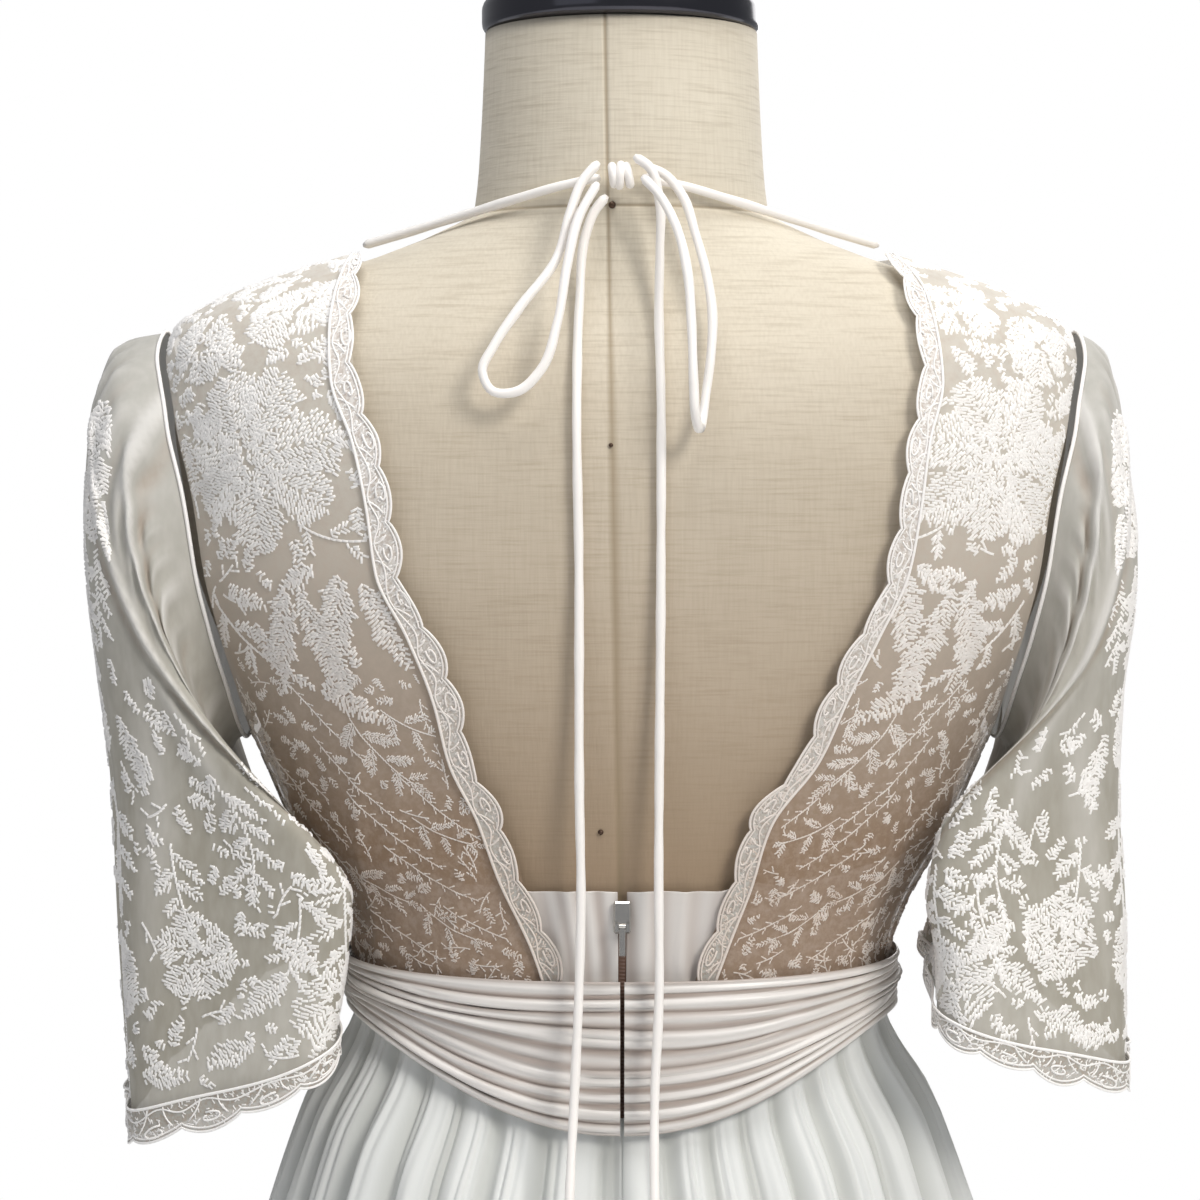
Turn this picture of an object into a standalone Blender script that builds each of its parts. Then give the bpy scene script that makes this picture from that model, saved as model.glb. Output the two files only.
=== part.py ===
"""A wedding dress on a dress form, open at the back.

Corded lace bodice with a deep back opening, sheer elbow sleeves, a strapless satin under-bodice
with a centre-back zip, a draped satin waistband, a gathered chiffon skirt, and rouleau ties
that meet in a bow at the nape. Metres, +Z up. The garment's front faces -Y and its back +Y,
so its left side is at +X. The origin is on the floor, under the middle of the stand.
"""
import bmesh
import bpy
import numpy as np
from mathutils import Matrix

MM = 0.001

# Walls and layers, counted out from the form's surface
WALL = 1.2 * MM
SEAM_GAP = 0.6 * MM
UNDER_LIFT = 2.1 * MM
LACE_LIFT = 5.1 * MM
SKIRT_LIFT = 3.1 * MM
TRIM_LIFT = 7.1 * MM
BAND_LIFT = 7.3 * MM
SLEEVE_LIFT = 8.0 * MM

# The dress form: one row for each level, from the hip up to the neck's top
BODY_COLUMNS = ("z", "half_width", "front", "back", "power")
BODY = (
    (0.790, 0.150, 0.098, 0.108, 0.95),
    (0.850, 0.163, 0.105, 0.118, 0.95),
    (0.900, 0.160, 0.104, 0.113, 0.95),
    (0.960, 0.146, 0.101, 0.097, 0.95),
    (1.010, 0.128, 0.098, 0.082, 0.94),
    (1.055, 0.114, 0.094, 0.073, 0.93),
    (1.095, 0.108, 0.094, 0.070, 0.92),
    (1.147, 0.110, 0.101, 0.071, 0.91),
    (1.170, 0.118, 0.108, 0.073, 0.90),
    (1.196, 0.133, 0.117, 0.076, 0.88),
    (1.226, 0.146, 0.122, 0.079, 0.86),
    (1.260, 0.161, 0.119, 0.082, 0.83),
    (1.285, 0.172, 0.110, 0.083, 0.80),
    (1.311, 0.180, 0.100, 0.084, 0.78),
    (1.340, 0.184, 0.090, 0.084, 0.77),
    (1.370, 0.188, 0.080, 0.081, 0.78),
    (1.392, 0.188, 0.072, 0.076, 0.80),
    (1.405, 0.184, 0.066, 0.071, 0.84),
    (1.416, 0.168, 0.061, 0.066, 0.88),
    (1.426, 0.142, 0.057, 0.062, 0.91),
    (1.435, 0.113, 0.054, 0.059, 0.93),
    (1.444, 0.088, 0.052, 0.057, 0.95),
    (1.451, 0.072, 0.052, 0.056, 0.97),
    (1.458, 0.062, 0.052, 0.056, 1.00),
    (1.490, 0.059, 0.053, 0.055, 1.00),
    (1.532, 0.057, 0.054, 0.054, 1.00),
)
FORM_COLUMNS = 28

# Stand and neck cap
BASE_RADIUS = 0.200
BASE_THICK = 0.016
HUB_RADIUS = 0.030
HUB_TOP = 0.045
POLE_RADIUS = 0.0125
CAP_RADIUS = 0.0585
CAP_RIM = 0.012
CAP_DOME = 0.020
KNOB_RADIUS = 0.011
KNOB_TOP = 1.590

# Bodice: heights of the panel's rows, and how far the two back edges and the front V stand
# from the middle at each height
BODICE_ROWS = (1.137, 1.148, 1.165, 1.187, 1.210, 1.232, 1.242, 1.262, 1.292, 1.322, 1.355,
               1.385, 1.400, 1.408, 1.420, 1.434)
BODICE_ACROSS = 8
NECK_COLUMNS = ("z", "back_left", "back_right", "front")
NECK = (
    (1.130, 0.020, 0.021, -0.004),
    (1.160, 0.027, 0.031, -0.004),
    (1.185, 0.036, 0.042, -0.004),
    (1.210, 0.045, 0.051, 0.001),
    (1.235, 0.059, 0.069, 0.017),
    (1.260, 0.066, 0.079, 0.029),
    (1.285, 0.076, 0.091, 0.041),
    (1.310, 0.088, 0.103, 0.053),
    (1.335, 0.0905, 0.108, 0.064),
    (1.360, 0.095, 0.112, 0.075),
    (1.385, 0.104, 0.119, 0.085),
    (1.415, 0.106, 0.116, 0.097),
    (1.436, 0.107, 0.106, 0.106),
)
ARMHOLE_TOP = 1.405
ARMHOLE_BOTTOM = 1.238
ARMHOLE_ANGLE = 0.43

# Strapless under-bodice: height of its top edge by the angle round from centre back
UNDER_BOTTOM = 1.135
UNDER_COLUMNS = ("turn_degrees", "top")
UNDER = (
    (0.0, 1.181),
    (45.0, 1.188),
    (90.0, 1.212),
    (130.0, 1.258),
    (155.0, 1.266),
    (180.0, 1.246),
)
UNDER_ROWS = (0.0, 0.09, 0.24, 0.45, 0.72, 1.0)

# Waistband: its edges, and its folds as shares of its width with the height each stands
BAND_TOP = 1.146
BAND_SIDE = 1.123
BAND_DROP_BACK = 0.040
BAND_DROP_FRONT = 0.030
BAND_COLUMNS = ("across", "stand_mm")
BAND_FOLDS = (
    (0.000, 1.0),
    (0.060, 2.6),
    (0.105, 0.7),
    (0.175, 3.1),
    (0.230, 0.8),
    (0.285, 2.3),
    (0.330, 0.9),
    (0.405, 3.3),
    (0.460, 0.8),
    (0.510, 2.2),
    (0.560, 1.0),
    (0.635, 3.0),
    (0.690, 0.7),
    (0.740, 2.4),
    (0.790, 0.9),
    (0.860, 3.1),
    (0.910, 0.8),
    (0.960, 2.5),
    (1.000, 1.3),
)

# Skirt: tucked up under the band, then the share of its flare and the depth of its gathers
# by the share of its drop
HEM_HEIGHT = 0.020
SKIRT_TUCK = 6.0 * MM
HEM_HALF_WIDTH = 0.405
HEM_FRONT = 0.392
HEM_BACK = 0.400
SKIRT_COLUMNS = ("drop", "flare", "fold_mm")
SKIRT = (
    (0.000, 0.000, 1.3),
    (0.008, 0.001, 1.4),
    (0.045, 0.068, 4.5),
    (0.160, 0.203, 8.0),
    (0.440, 0.540, 13.0),
    (1.000, 1.000, 20.0),
)
GATHERS = 36

# Sleeves: the outer and the inner line from the armhole to the hem, half the depth, how far
# the back swings in behind the body, and how much lower the back hangs than the front
SLEEVE_COLUMNS = ("along", "outer_x", "outer_z", "inner_x", "inner_z", "half_depth", "swing", "back_drop")
SLEEVE_LEFT = (
    (0.00, 0.2000, 1.408, 0.170, 1.236, 0.050, 0.000, 0.000),
    (0.07, 0.2110, 1.402, 0.167, 1.230, 0.055, 0.000, 0.000),
    (0.18, 0.2235, 1.372, 0.164, 1.222, 0.060, 0.005, 0.000),
    (0.32, 0.2268, 1.325, 0.158, 1.208, 0.065, 0.018, 0.001),
    (0.47, 0.2225, 1.272, 0.152, 1.192, 0.069, 0.040, 0.002),
    (0.64, 0.2152, 1.212, 0.145, 1.173, 0.073, 0.067, 0.003),
    (0.80, 0.2125, 1.150, 0.139, 1.155, 0.077, 0.070, 0.004),
    (1.00, 0.2085, 1.070, 0.133, 1.136, 0.083, 0.062, 0.006),
)
SLEEVE_RIGHT = (
    (0.00, 0.1980, 1.408, 0.168, 1.236, 0.050, 0.000, 0.000),
    (0.07, 0.2030, 1.400, 0.165, 1.230, 0.055, 0.000, 0.000),
    (0.18, 0.2120, 1.366, 0.162, 1.222, 0.060, 0.005, 0.000),
    (0.32, 0.2178, 1.314, 0.157, 1.208, 0.065, 0.022, 0.000),
    (0.47, 0.2125, 1.262, 0.151, 1.192, 0.069, 0.058, 0.001),
    (0.64, 0.2105, 1.209, 0.145, 1.174, 0.073, 0.060, 0.001),
    (0.80, 0.2135, 1.158, 0.139, 1.158, 0.078, 0.050, 0.002),
    (1.00, 0.2145, 1.092, 0.133, 1.140, 0.084, 0.042, 0.002),
)
SLEEVE_ROWS = (0.0, 0.05, 0.13, 0.24, 0.38, 0.54, 0.72, 1.0)
SLEEVE_AROUND = 28
SLEEVE_FOLDS = 7
SLEEVE_FOLD = 3.2 * MM

# Scalloped edging
SCALLOP = 22 * MM
SCALLOP_HIGH = 4 * MM
EDGING = 9 * MM
EDGE_INSET = 4 * MM

# Zip
ZIP_HEIGHT = 1.172
SLIDER = (7.0 * MM, 2.6 * MM, 13.0 * MM)
LUG = (1.2 * MM, 2.4 * MM, 2.6 * MM)
LUG_APART = 4.4 * MM
PULL_LENGTH = 12.0 * MM
PULL_WIDTH = 2.6 * MM
PULL_THICK = 1.0 * MM
PULL_PIN = 0.8 * MM

# Rouleau ties, as points chosen by hand along each
TIE_DIAMETER = 3.8 * MM
TIE_STEP = 12 * MM
KNOT_MIDDLE = (0.0006, 0.0662, 1.4668)
KNOT_HALF = (0.0060, 0.0050, 0.0050)
TIES = {
    "tie_left": ((0.0090, 0.0606, 1.4666), (0.0247, 0.0560, 1.4636), (0.0392, 0.0486, 1.4602),
                 (0.0584, 0.0345, 1.4557), (0.0932, 0.0100, 1.4475), (0.1085, 0.0010, 1.4440)),
    "tie_right": ((-0.0080, 0.0606, 1.4666), (-0.0247, 0.0560, 1.4636),
                  (-0.0392, 0.0486, 1.4602), (-0.0584, 0.0345, 1.4557),
                  (-0.0932, 0.0100, 1.4475), (-0.1085, 0.0010, 1.4440)),
    "bow_loop_left": ((0.0095, 0.0670, 1.4718), (0.0160, 0.0690, 1.4640),
                      (0.0205, 0.0715, 1.4520), (0.0262, 0.0765, 1.4330),
                      (0.0402, 0.0830, 1.4140), (0.0505, 0.0870, 1.3985),
                      (0.0548, 0.0888, 1.3890), (0.0510, 0.0900, 1.3812),
                      (0.0415, 0.0910, 1.3808), (0.0318, 0.0905, 1.3895),
                      (0.0255, 0.0875, 1.4080), (0.0218, 0.0825, 1.4300),
                      (0.0170, 0.0765, 1.4500), (0.0098, 0.0725, 1.4632)),
    "bow_loop_right": ((-0.0088, 0.0648, 1.4706), (-0.0170, 0.0655, 1.4670),
                       (-0.0236, 0.0668, 1.4590), (-0.0290, 0.0700, 1.4430),
                       (-0.0330, 0.0745, 1.4280), (-0.0352, 0.0790, 1.4130),
                       (-0.0345, 0.0840, 1.3950), (-0.0325, 0.0865, 1.3800),
                       (-0.0310, 0.0902, 1.3700), (-0.0295, 0.0965, 1.3665),
                       (-0.0280, 0.1015, 1.3710), (-0.0272, 0.1022, 1.3830),
                       (-0.0265, 0.0985, 1.4050), (-0.0250, 0.0920, 1.4270),
                       (-0.0205, 0.0845, 1.4460), (-0.0135, 0.0790, 1.4590),
                       (-0.0078, 0.0762, 1.4652)),
    "tie_tail_left": ((0.0062, 0.0640, 1.4590), (0.0110, 0.0640, 1.4530),
                      (0.0144, 0.0650, 1.4440), (0.0170, 0.0700, 1.4170),
                      (0.0180, 0.0835, 1.3780), (0.0172, 0.0872, 1.3150),
                      (0.0170, 0.0880, 1.2200), (0.0164, 0.0882, 1.1800),
                      (0.0173, 0.0890, 1.1430), (0.0190, 0.0925, 1.1040),
                      (0.0208, 0.1040, 1.0660), (0.0222, 0.1220, 1.0200),
                      (0.0224, 0.1390, 0.9750), (0.0220, 0.1515, 0.9400)),
    "tie_tail_right": ((-0.0046, 0.0705, 1.4738), (-0.0105, 0.0716, 1.4696),
                       (-0.0145, 0.0708, 1.4570), (-0.0148, 0.0698, 1.4370),
                       (-0.0144, 0.0715, 1.4173), (-0.0150, 0.0838, 1.3780),
                       (-0.0150, 0.0872, 1.3150), (-0.0143, 0.0882, 1.1800),
                       (-0.0145, 0.0890, 1.1430), (-0.0128, 0.0925, 1.1040),
                       (-0.0125, 0.1040, 1.0660), (-0.0136, 0.1220, 1.0200),
                       (-0.0150, 0.1390, 0.9750), (-0.0158, 0.1480, 0.9500)),
}

# Colours as linear RGB, with roughness and metallic value
FINISHES = {
    "linen": ((0.62, 0.54, 0.40), 0.85, 0.0),
    "lace": ((0.80, 0.77, 0.73), 0.75, 0.0),
    "sheer": ((0.62, 0.60, 0.56), 0.70, 0.0),
    "satin": ((0.82, 0.76, 0.74), 0.35, 0.0),
    "chiffon": ((0.80, 0.82, 0.84), 0.70, 0.0),
    "cord": ((0.86, 0.84, 0.82), 0.50, 0.0),
    "nickel": ((0.70, 0.69, 0.67), 0.25, 1.0),
    "dark_chrome": ((0.12, 0.12, 0.13), 0.20, 1.0),
    "stand": ((0.05, 0.05, 0.05), 0.45, 0.0),
}


def clear_scene():
    """Remove whatever the scene holds."""
    for item in list(bpy.data.objects):
        bpy.data.objects.remove(item)


def finish(name):
    """The named finish as a Principled material."""
    found = bpy.data.materials.get(name)
    if found:
        return found
    colour, roughness, metallic = FINISHES[name]
    made = bpy.data.materials.new(name)
    made.use_nodes = True
    shader = made.node_tree.nodes["Principled BSDF"]
    shader.inputs["Base Color"].default_value = (*colour, 1.0)
    shader.inputs["Roughness"].default_value = roughness
    shader.inputs["Metallic"].default_value = metallic
    return made


def place(name, data, material):
    """Link new data to the dress's collection under its node name."""
    made = bpy.data.objects.new(name, data)
    made.data.materials.append(finish(material))
    bpy.data.collections["wedding_dress"].objects.link(made)
    return made


def smooth(x, xs, ys):
    """Value at x on a smooth curve through a table, which never overshoots its rows."""
    xs = np.asarray(xs, float)
    ys = np.asarray(ys, float)
    step = np.diff(xs)
    rise = np.diff(ys) / step
    product = rise[1:] * rise[:-1]
    total = rise[1:] + rise[:-1]
    slope = np.concatenate(([rise[0]], np.zeros(len(xs) - 2), [rise[-1]]))
    slope[1:-1] = np.where(product > 0, 2 * product / np.where(total == 0, 1, total), 0)
    x = np.clip(x, xs[0], xs[-1])
    row = np.clip(np.searchsorted(xs, x) - 1, 0, len(step) - 1)
    t = (x - xs[row]) / step[row]
    start = (1 + 2 * t) * (1 - t) ** 2 * ys[row] + t * (1 - t) ** 2 * step[row] * slope[row]
    end = t * t * (3 - 2 * t) * ys[row + 1] + t * t * (t - 1) * step[row] * slope[row + 1]
    return start + end


def reader(table, columns, key):
    """A function that reads any named column of a table at a value of its key column."""
    rows = np.array(table)
    keys = rows[:, columns.index(key)]
    return lambda name, x: smooth(x, keys, rows[:, columns.index(name)])


body = reader(BODY, BODY_COLUMNS, "z")
neck = reader(NECK, NECK_COLUMNS, "z")
under = reader(UNDER, UNDER_COLUMNS, "turn_degrees")
skirt = reader(SKIRT, SKIRT_COLUMNS, "drop")
SLEEVES = {
    1: reader(SLEEVE_LEFT, SLEEVE_COLUMNS, "along"),
    -1: reader(SLEEVE_RIGHT, SLEEVE_COLUMNS, "along"),
}


def oval(half_width, front, back, power, turn, height):
    """A point at an angle round an oval, rounder or squarer by its power."""
    across = np.cos(turn)
    deep = np.sin(turn)
    depth = np.where(deep >= 0, back, front)
    x = half_width * np.sign(across) * np.abs(across) ** power
    y = depth * np.sign(deep) * np.abs(deep) ** power
    return np.stack(np.broadcast_arrays(x, y, height), -1)


def form_surface(turn, height):
    """The dress form's own surface by angle and height."""
    return oval(body("half_width", height), body("front", height), body("back", height),
                body("power", height), turn, height)


def lifted(surface, turn, along, lift, out=1):
    """A surface's points moved out by a lift, square to the surface."""
    d_turn = 0.01
    d_along = 0.002
    across = surface(turn + d_turn, along) - surface(turn - d_turn, along)
    up = surface(turn, along + d_along) - surface(turn, along - d_along)
    normal = np.cross(across, up)
    normal /= np.linalg.norm(normal, axis=-1, keepdims=True)
    lift = np.asarray(lift)[..., None] * out
    return surface(turn, along) + lift * normal


def on_form(turn, height, lift):
    """A point a lift away from the form."""
    height = np.clip(height, BODY[0][0] + 3 * MM, BODY[-1][0] - 3 * MM)
    return lifted(form_surface, turn, height, lift)


def cloth(name, points, material, closed=False, flip=False, offset=1.0, wall=WALL):
    """A wall of cloth: a sheet of faces through a grid of points, thickened by Solidify."""
    rows, columns = points.shape[:2]
    index = np.arange(rows * columns).reshape(rows, columns)
    if closed:
        index = np.concatenate([index, index[:, :1]], axis=1)
    corners = (index[:-1, :-1], index[:-1, 1:], index[1:, 1:], index[1:, :-1])
    faces = np.stack(corners, -1).reshape(-1, 4)
    if flip:
        faces = faces[:, ::-1]
    mesh = bpy.data.meshes.new(name)
    mesh.from_pydata(points.reshape(-1, 3).tolist(), [], faces.tolist())
    mesh.shade_smooth()
    made = place(name, mesh, material)
    solid = made.modifiers.new("wall", "SOLIDIFY")
    solid.thickness = wall
    solid.offset = offset
    solid.use_even_offset = True
    return made


def turned(name, profile, material, steps=20):
    """A turned solid: a profile of radius and height, top to bottom, spun about Z."""
    mesh = bpy.data.meshes.new(name)
    edges = [(i, i + 1) for i in range(len(profile) - 1)]
    mesh.from_pydata([(radius, 0.0, height) for radius, height in profile], edges, [])
    made = place(name, mesh, material)
    spin = made.modifiers.new("turn", "SCREW")
    spin.steps = steps
    spin.render_steps = steps
    spin.use_merge_vertices = True
    spin.merge_threshold = 0.00005
    return made


def dress_form():
    """The limbless form as a loft of ovals, closed flat below and above."""
    heights = np.array([row[0] for row in BODY])
    turns = np.arange(FORM_COLUMNS) * 2 * np.pi / FORM_COLUMNS
    points = form_surface(turns[None, :], heights[:, None])
    shell = bmesh.new()
    rings = [[shell.verts.new(point) for point in ring] for ring in points]
    for low, high in zip(rings, rings[1:]):
        for i in range(FORM_COLUMNS):
            j = (i + 1) % FORM_COLUMNS
            shell.faces.new((low[i], low[j], high[j], high[i]))
    shell.faces.new(rings[0][::-1])
    shell.faces.new(rings[-1])
    mesh = bpy.data.meshes.new("form_torso")
    shell.to_mesh(mesh)
    shell.free()
    mesh.shade_smooth()
    place("form_torso", mesh, "linen")


def stand():
    """Neck cap above the form, and the pole and round base below it."""
    gap = SEAM_GAP / 2
    low = BODY[-1][0] + gap
    brow = low + CAP_RIM
    dome = brow + CAP_DOME * 0.6
    crown = brow + CAP_DOME
    cap = ((0.0, KNOB_TOP), (KNOB_RADIUS * 0.7, KNOB_TOP - 1 * MM), (KNOB_RADIUS, KNOB_TOP - 4 * MM),
           (KNOB_RADIUS, KNOB_TOP - 10 * MM), (KNOB_RADIUS * 0.6, crown + 6 * MM),
           (KNOB_RADIUS * 0.8, crown), (CAP_RADIUS * 0.6, dome + 3 * MM), (CAP_RADIUS * 0.9, brow + 4 * MM),
           (CAP_RADIUS, brow), (CAP_RADIUS, low), (0.0, low))
    turned("neck_cap", cap, "dark_chrome")
    base = ((0.0, HUB_TOP), (HUB_RADIUS * 0.8, HUB_TOP), (HUB_RADIUS, HUB_TOP - 4 * MM),
            (HUB_RADIUS, BASE_THICK + 6 * MM), (BASE_RADIUS * 0.4, BASE_THICK),
            (BASE_RADIUS - 5 * MM, BASE_THICK - 3 * MM), (BASE_RADIUS, BASE_THICK - 8 * MM),
            (BASE_RADIUS, 0.0), (0.0, 0.0))
    turned("stand_base", base, "stand")
    top = BODY[0][0] - gap
    foot = HUB_TOP + gap
    turned("stand_pole", ((0.0, top), (POLE_RADIUS, top), (POLE_RADIUS, foot), (0.0, foot)), "stand", 16)


def armhole_turn(height):
    """Half the armhole's opening as an angle: a half ellipse over its height."""
    middle = (ARMHOLE_TOP + ARMHOLE_BOTTOM) / 2
    half = (ARMHOLE_TOP - ARMHOLE_BOTTOM) / 2
    inside = np.clip(1 - ((height - middle) / half) ** 2, 0, None)
    return ARMHOLE_ANGLE * np.sqrt(inside)


def edge_turn(edge, height, lift):
    """The angle from the side at which a panel ends, inside the scallops of its neck edge."""
    reach = neck(edge, height) + EDGE_INSET
    share = np.clip(reach / (body("half_width", height) + lift), 0, 1)
    return np.arccos(share ** (1 / body("power", height)))


def span(low, high, count):
    """Angles spread evenly from a low to a high edge, a row for each level."""
    share = np.linspace(0, 1, count + 1)[None, :]
    return low[:, None] + (high - low)[:, None] * share


def bodice():
    """Two back and two front panels, from the band to the shoulder and round each armhole."""
    height = np.array(BODICE_ROWS)
    gap = SEAM_GAP / 2 / body("half_width", height) * 3
    arm = armhole_turn(height) + gap
    for side, edge in ((1, "back_left"), (-1, "back_right"), (1, "front"), (-1, "front")):
        stop = edge_turn(edge, height, LACE_LIFT)
        stop = np.maximum(stop, arm + 0.05)
        front = edge == "front"
        stop = np.minimum(stop, np.pi / 2 - gap) if front else stop
        low, high = (arm, stop) if side > 0 else (np.pi - stop, np.pi - arm)
        if front:
            low, high = -high, -low
        turn = span(low, high, BODICE_ACROSS)
        points = on_form(turn, height[:, None], LACE_LIFT)
        word = "left" if side > 0 else "right"
        cloth(f"bodice_{'front' if front else 'back'}_{word}", points, "lace")


def under_top(turn):
    """Top edge of the under-bodice at an angle, the same on both sides of centre back."""
    from_back = np.degrees(np.abs((turn - np.pi / 2 + np.pi) % (2 * np.pi) - np.pi))
    return under("top", from_back)


def under_bodice():
    """Strapless satin layer: one front and two backs that meet at the zip."""
    gap = 4 * SEAM_GAP
    pieces = (("under_bodice_back_left", gap, np.pi / 2 - gap * 4, 7),
              ("under_bodice_back_right", np.pi / 2 + gap * 4, np.pi - gap, 7),
              ("under_bodice_front", np.pi + gap, 2 * np.pi - gap, 18))
    share = np.array(UNDER_ROWS)[:, None]
    for name, low, high, count in pieces:
        turn = np.linspace(low, high, count + 1)[None, :]
        height = UNDER_BOTTOM + share * (under_top(turn) - UNDER_BOTTOM)
        cloth(name, on_form(turn + 0 * height, height, UNDER_LIFT), "satin")


def band_bottom(turn):
    """Lower edge of the waistband: deep at centre back and front, narrow at the sides."""
    deep = np.sin(turn)
    drop = np.where(deep > 0, BAND_DROP_BACK, BAND_DROP_FRONT)
    return BAND_SIDE - drop * np.abs(deep) ** 3


def waistband():
    """Draped band with long folds that run round the waist and crowd at the side seams."""
    folds = np.array(BAND_FOLDS)
    share = folds[:, 0][:, None]
    stand = folds[:, 1][:, None] * MM
    gap = 4 * SEAM_GAP
    pieces = (("waistband_back_left", gap, np.pi / 2 - gap * 2, 7),
              ("waistband_back_right", np.pi / 2 + gap * 2, np.pi - gap, 7),
              ("waistband_front", np.pi + gap, 2 * np.pi - gap, 11))
    for name, low, high, count in pieces:
        turn = np.linspace(low, high, count + 1)[None, :]
        wander = 0.12 * share * (1 - share) * np.sin(2.0 * turn + 6.0 * share)
        height = BAND_TOP + (share + wander) * (band_bottom(turn) - BAND_TOP)
        swell = stand * (0.8 + 0.2 * np.sin(5 * turn + 9 * share))
        points = on_form(turn + 0 * height, height, BAND_LIFT + swell)
        cloth(name, points[::-1], "satin")


def gather_phase(turn):
    """Phase of the gathers round the waist, which wanders so that no two are alike."""
    wander = 1.5 * np.sin(3 * turn + 0.7) + 0.9 * np.sin(5 * turn + 2.1) + 0.6 * np.sin(8 * turn + 4.0)
    return GATHERS * turn + wander


def skirt_surface(turn, drop):
    """The skirt by angle and by share of its drop, with its gathers standing in and out."""
    phase = gather_phase(turn)
    uneven = 0.75 + 0.25 * np.sin(2.6 * phase / np.pi + 1.0)
    fold = skirt("fold_mm", drop) * MM * uneven * np.cos(phase)
    flare = skirt("flare", drop)[..., None]
    top = band_bottom(turn) + SKIRT_TUCK
    waist = on_form(turn, top, SKIRT_LIFT)
    hem = oval(HEM_HALF_WIDTH, HEM_FRONT, HEM_BACK, 1.0, turn, HEM_HEIGHT)
    out = np.stack([np.cos(turn), np.sin(turn), 0 * turn], -1)
    points = waist * (1 - flare) + hem * flare + fold[..., None] * out
    points[..., 2] = top + (HEM_HEIGHT - top) * drop
    return points


def skirt_panels():
    """A front and two backs, with a column of points at each ridge, flank and hollow."""
    fine = np.linspace(-0.2, 2 * np.pi + 0.2, 6000)
    phase = gather_phase(fine)
    drops = np.array([row[0] for row in SKIRT])
    seam = 1.2 * SEAM_GAP
    for name, low, high in (("skirt_back_left", 0.0, np.pi / 2),
                            ("skirt_back_right", np.pi / 2, np.pi),
                            ("skirt_front", np.pi, 2 * np.pi)):
        first, last = np.interp((low, high), fine, phase)
        marks = np.arange(np.ceil(first / (np.pi / 2) + 0.4), last / (np.pi / 2) - 0.4) * np.pi / 2
        inner = np.interp(marks, phase, fine)
        radius = BODY[6][3] + (HEM_BACK - BODY[6][3]) * skirt("flare", drops)
        edge = (seam / radius)[:, None]
        turn = np.concatenate([low + edge, inner[None, :] + 0 * edge, high - edge], axis=1)
        points = skirt_surface(turn, drops[:, None] + 0 * turn)
        cloth(name, points[::-1], "chiffon")


def sleeve_surface(side):
    """A sleeve by angle round from its top and by share of its length."""
    read = SLEEVES[side]
    middle = (ARMHOLE_TOP + ARMHOLE_BOTTOM) / 2
    half = (ARMHOLE_TOP - ARMHOLE_BOTTOM) / 2 - 1.5 * MM

    def surface(turn, along):
        along = np.asarray(along, float)
        height = middle + half * np.cos(turn)
        angle = (ARMHOLE_ANGLE - 0.015) * np.sin(turn)
        angle = angle if side > 0 else np.pi - angle
        seam = on_form(angle + 0 * along, height + 0 * along, SLEEVE_LIFT + 0 * along * turn)
        ripple = SLEEVE_FOLD * np.clip(along * 1.6, 0, 1) * np.cos(SLEEVE_FOLDS * turn + 1.4 * np.sin(2 * turn))
        x_mid = (read("outer_x", along) + read("inner_x", along)) / 2
        z_mid = (read("outer_z", along) + read("inner_z", along)) / 2
        x_half = (read("outer_x", along) - read("inner_x", along)) / 2
        z_half = (read("outer_z", along) - read("inner_z", along)) / 2
        length = np.hypot(x_half, z_half)
        behind = np.clip(np.sin(turn), 0, None) ** 2 * (1 - np.cos(turn)) / 2
        x = x_mid + x_half * (1 + ripple / length) * np.cos(turn) - read("swing", along) * behind
        z = z_mid + z_half * (1 + ripple / length) * np.cos(turn) - read("back_drop", along) * np.sin(turn)
        y = (read("half_depth", along) + ripple) * np.sin(turn)
        tube = np.stack(np.broadcast_arrays(side * x, y, z), -1)
        share = np.clip(along / 0.09, 0, 1)
        share = (share * share * (3 - 2 * share) + 0 * turn)[..., None]
        return seam * (1 - share) + tube * share

    return surface


def sleeves():
    """Sheer tubes from the armholes to the elbow, open at both ends, with scalloped hems."""
    turn = (np.arange(SLEEVE_AROUND) * 2 * np.pi / SLEEVE_AROUND)[None, :]
    along = np.array(SLEEVE_ROWS)[:, None]
    for side, word in ((1, "left"), (-1, "right")):
        surface = sleeve_surface(side)
        points = surface(turn + 0 * along, along + 0 * turn)
        cloth(f"sleeve_{word}", points, "sheer", closed=True, flip=side > 0, offset=-1.0)
        count = 18 * 3
        around = (np.arange(count) * 2 * np.pi / count)[None, :]
        wave = scallop_wave(np.arange(count) / 3)[None, :]
        rows = np.array((-EDGING, 0.0))[:, None] / 0.34 + 0.985
        lift = 2.4 * MM + 0 * around * rows
        ring = lifted(surface, around + 0 * rows, rows + 0 * around, lift, out=-side)
        drop = np.array((0.0, 1.0))[:, None] * (2 * MM + SCALLOP_HIGH * wave)
        ring[..., 2] -= drop
        cloth(f"edging_sleeve_{word}", ring, "lace", closed=True, flip=side > 0)


def scallop_wave(count):
    """Round scallops: 0 between two of them and 1 at the top of each."""
    return np.abs(np.sin(np.pi * count))


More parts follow.
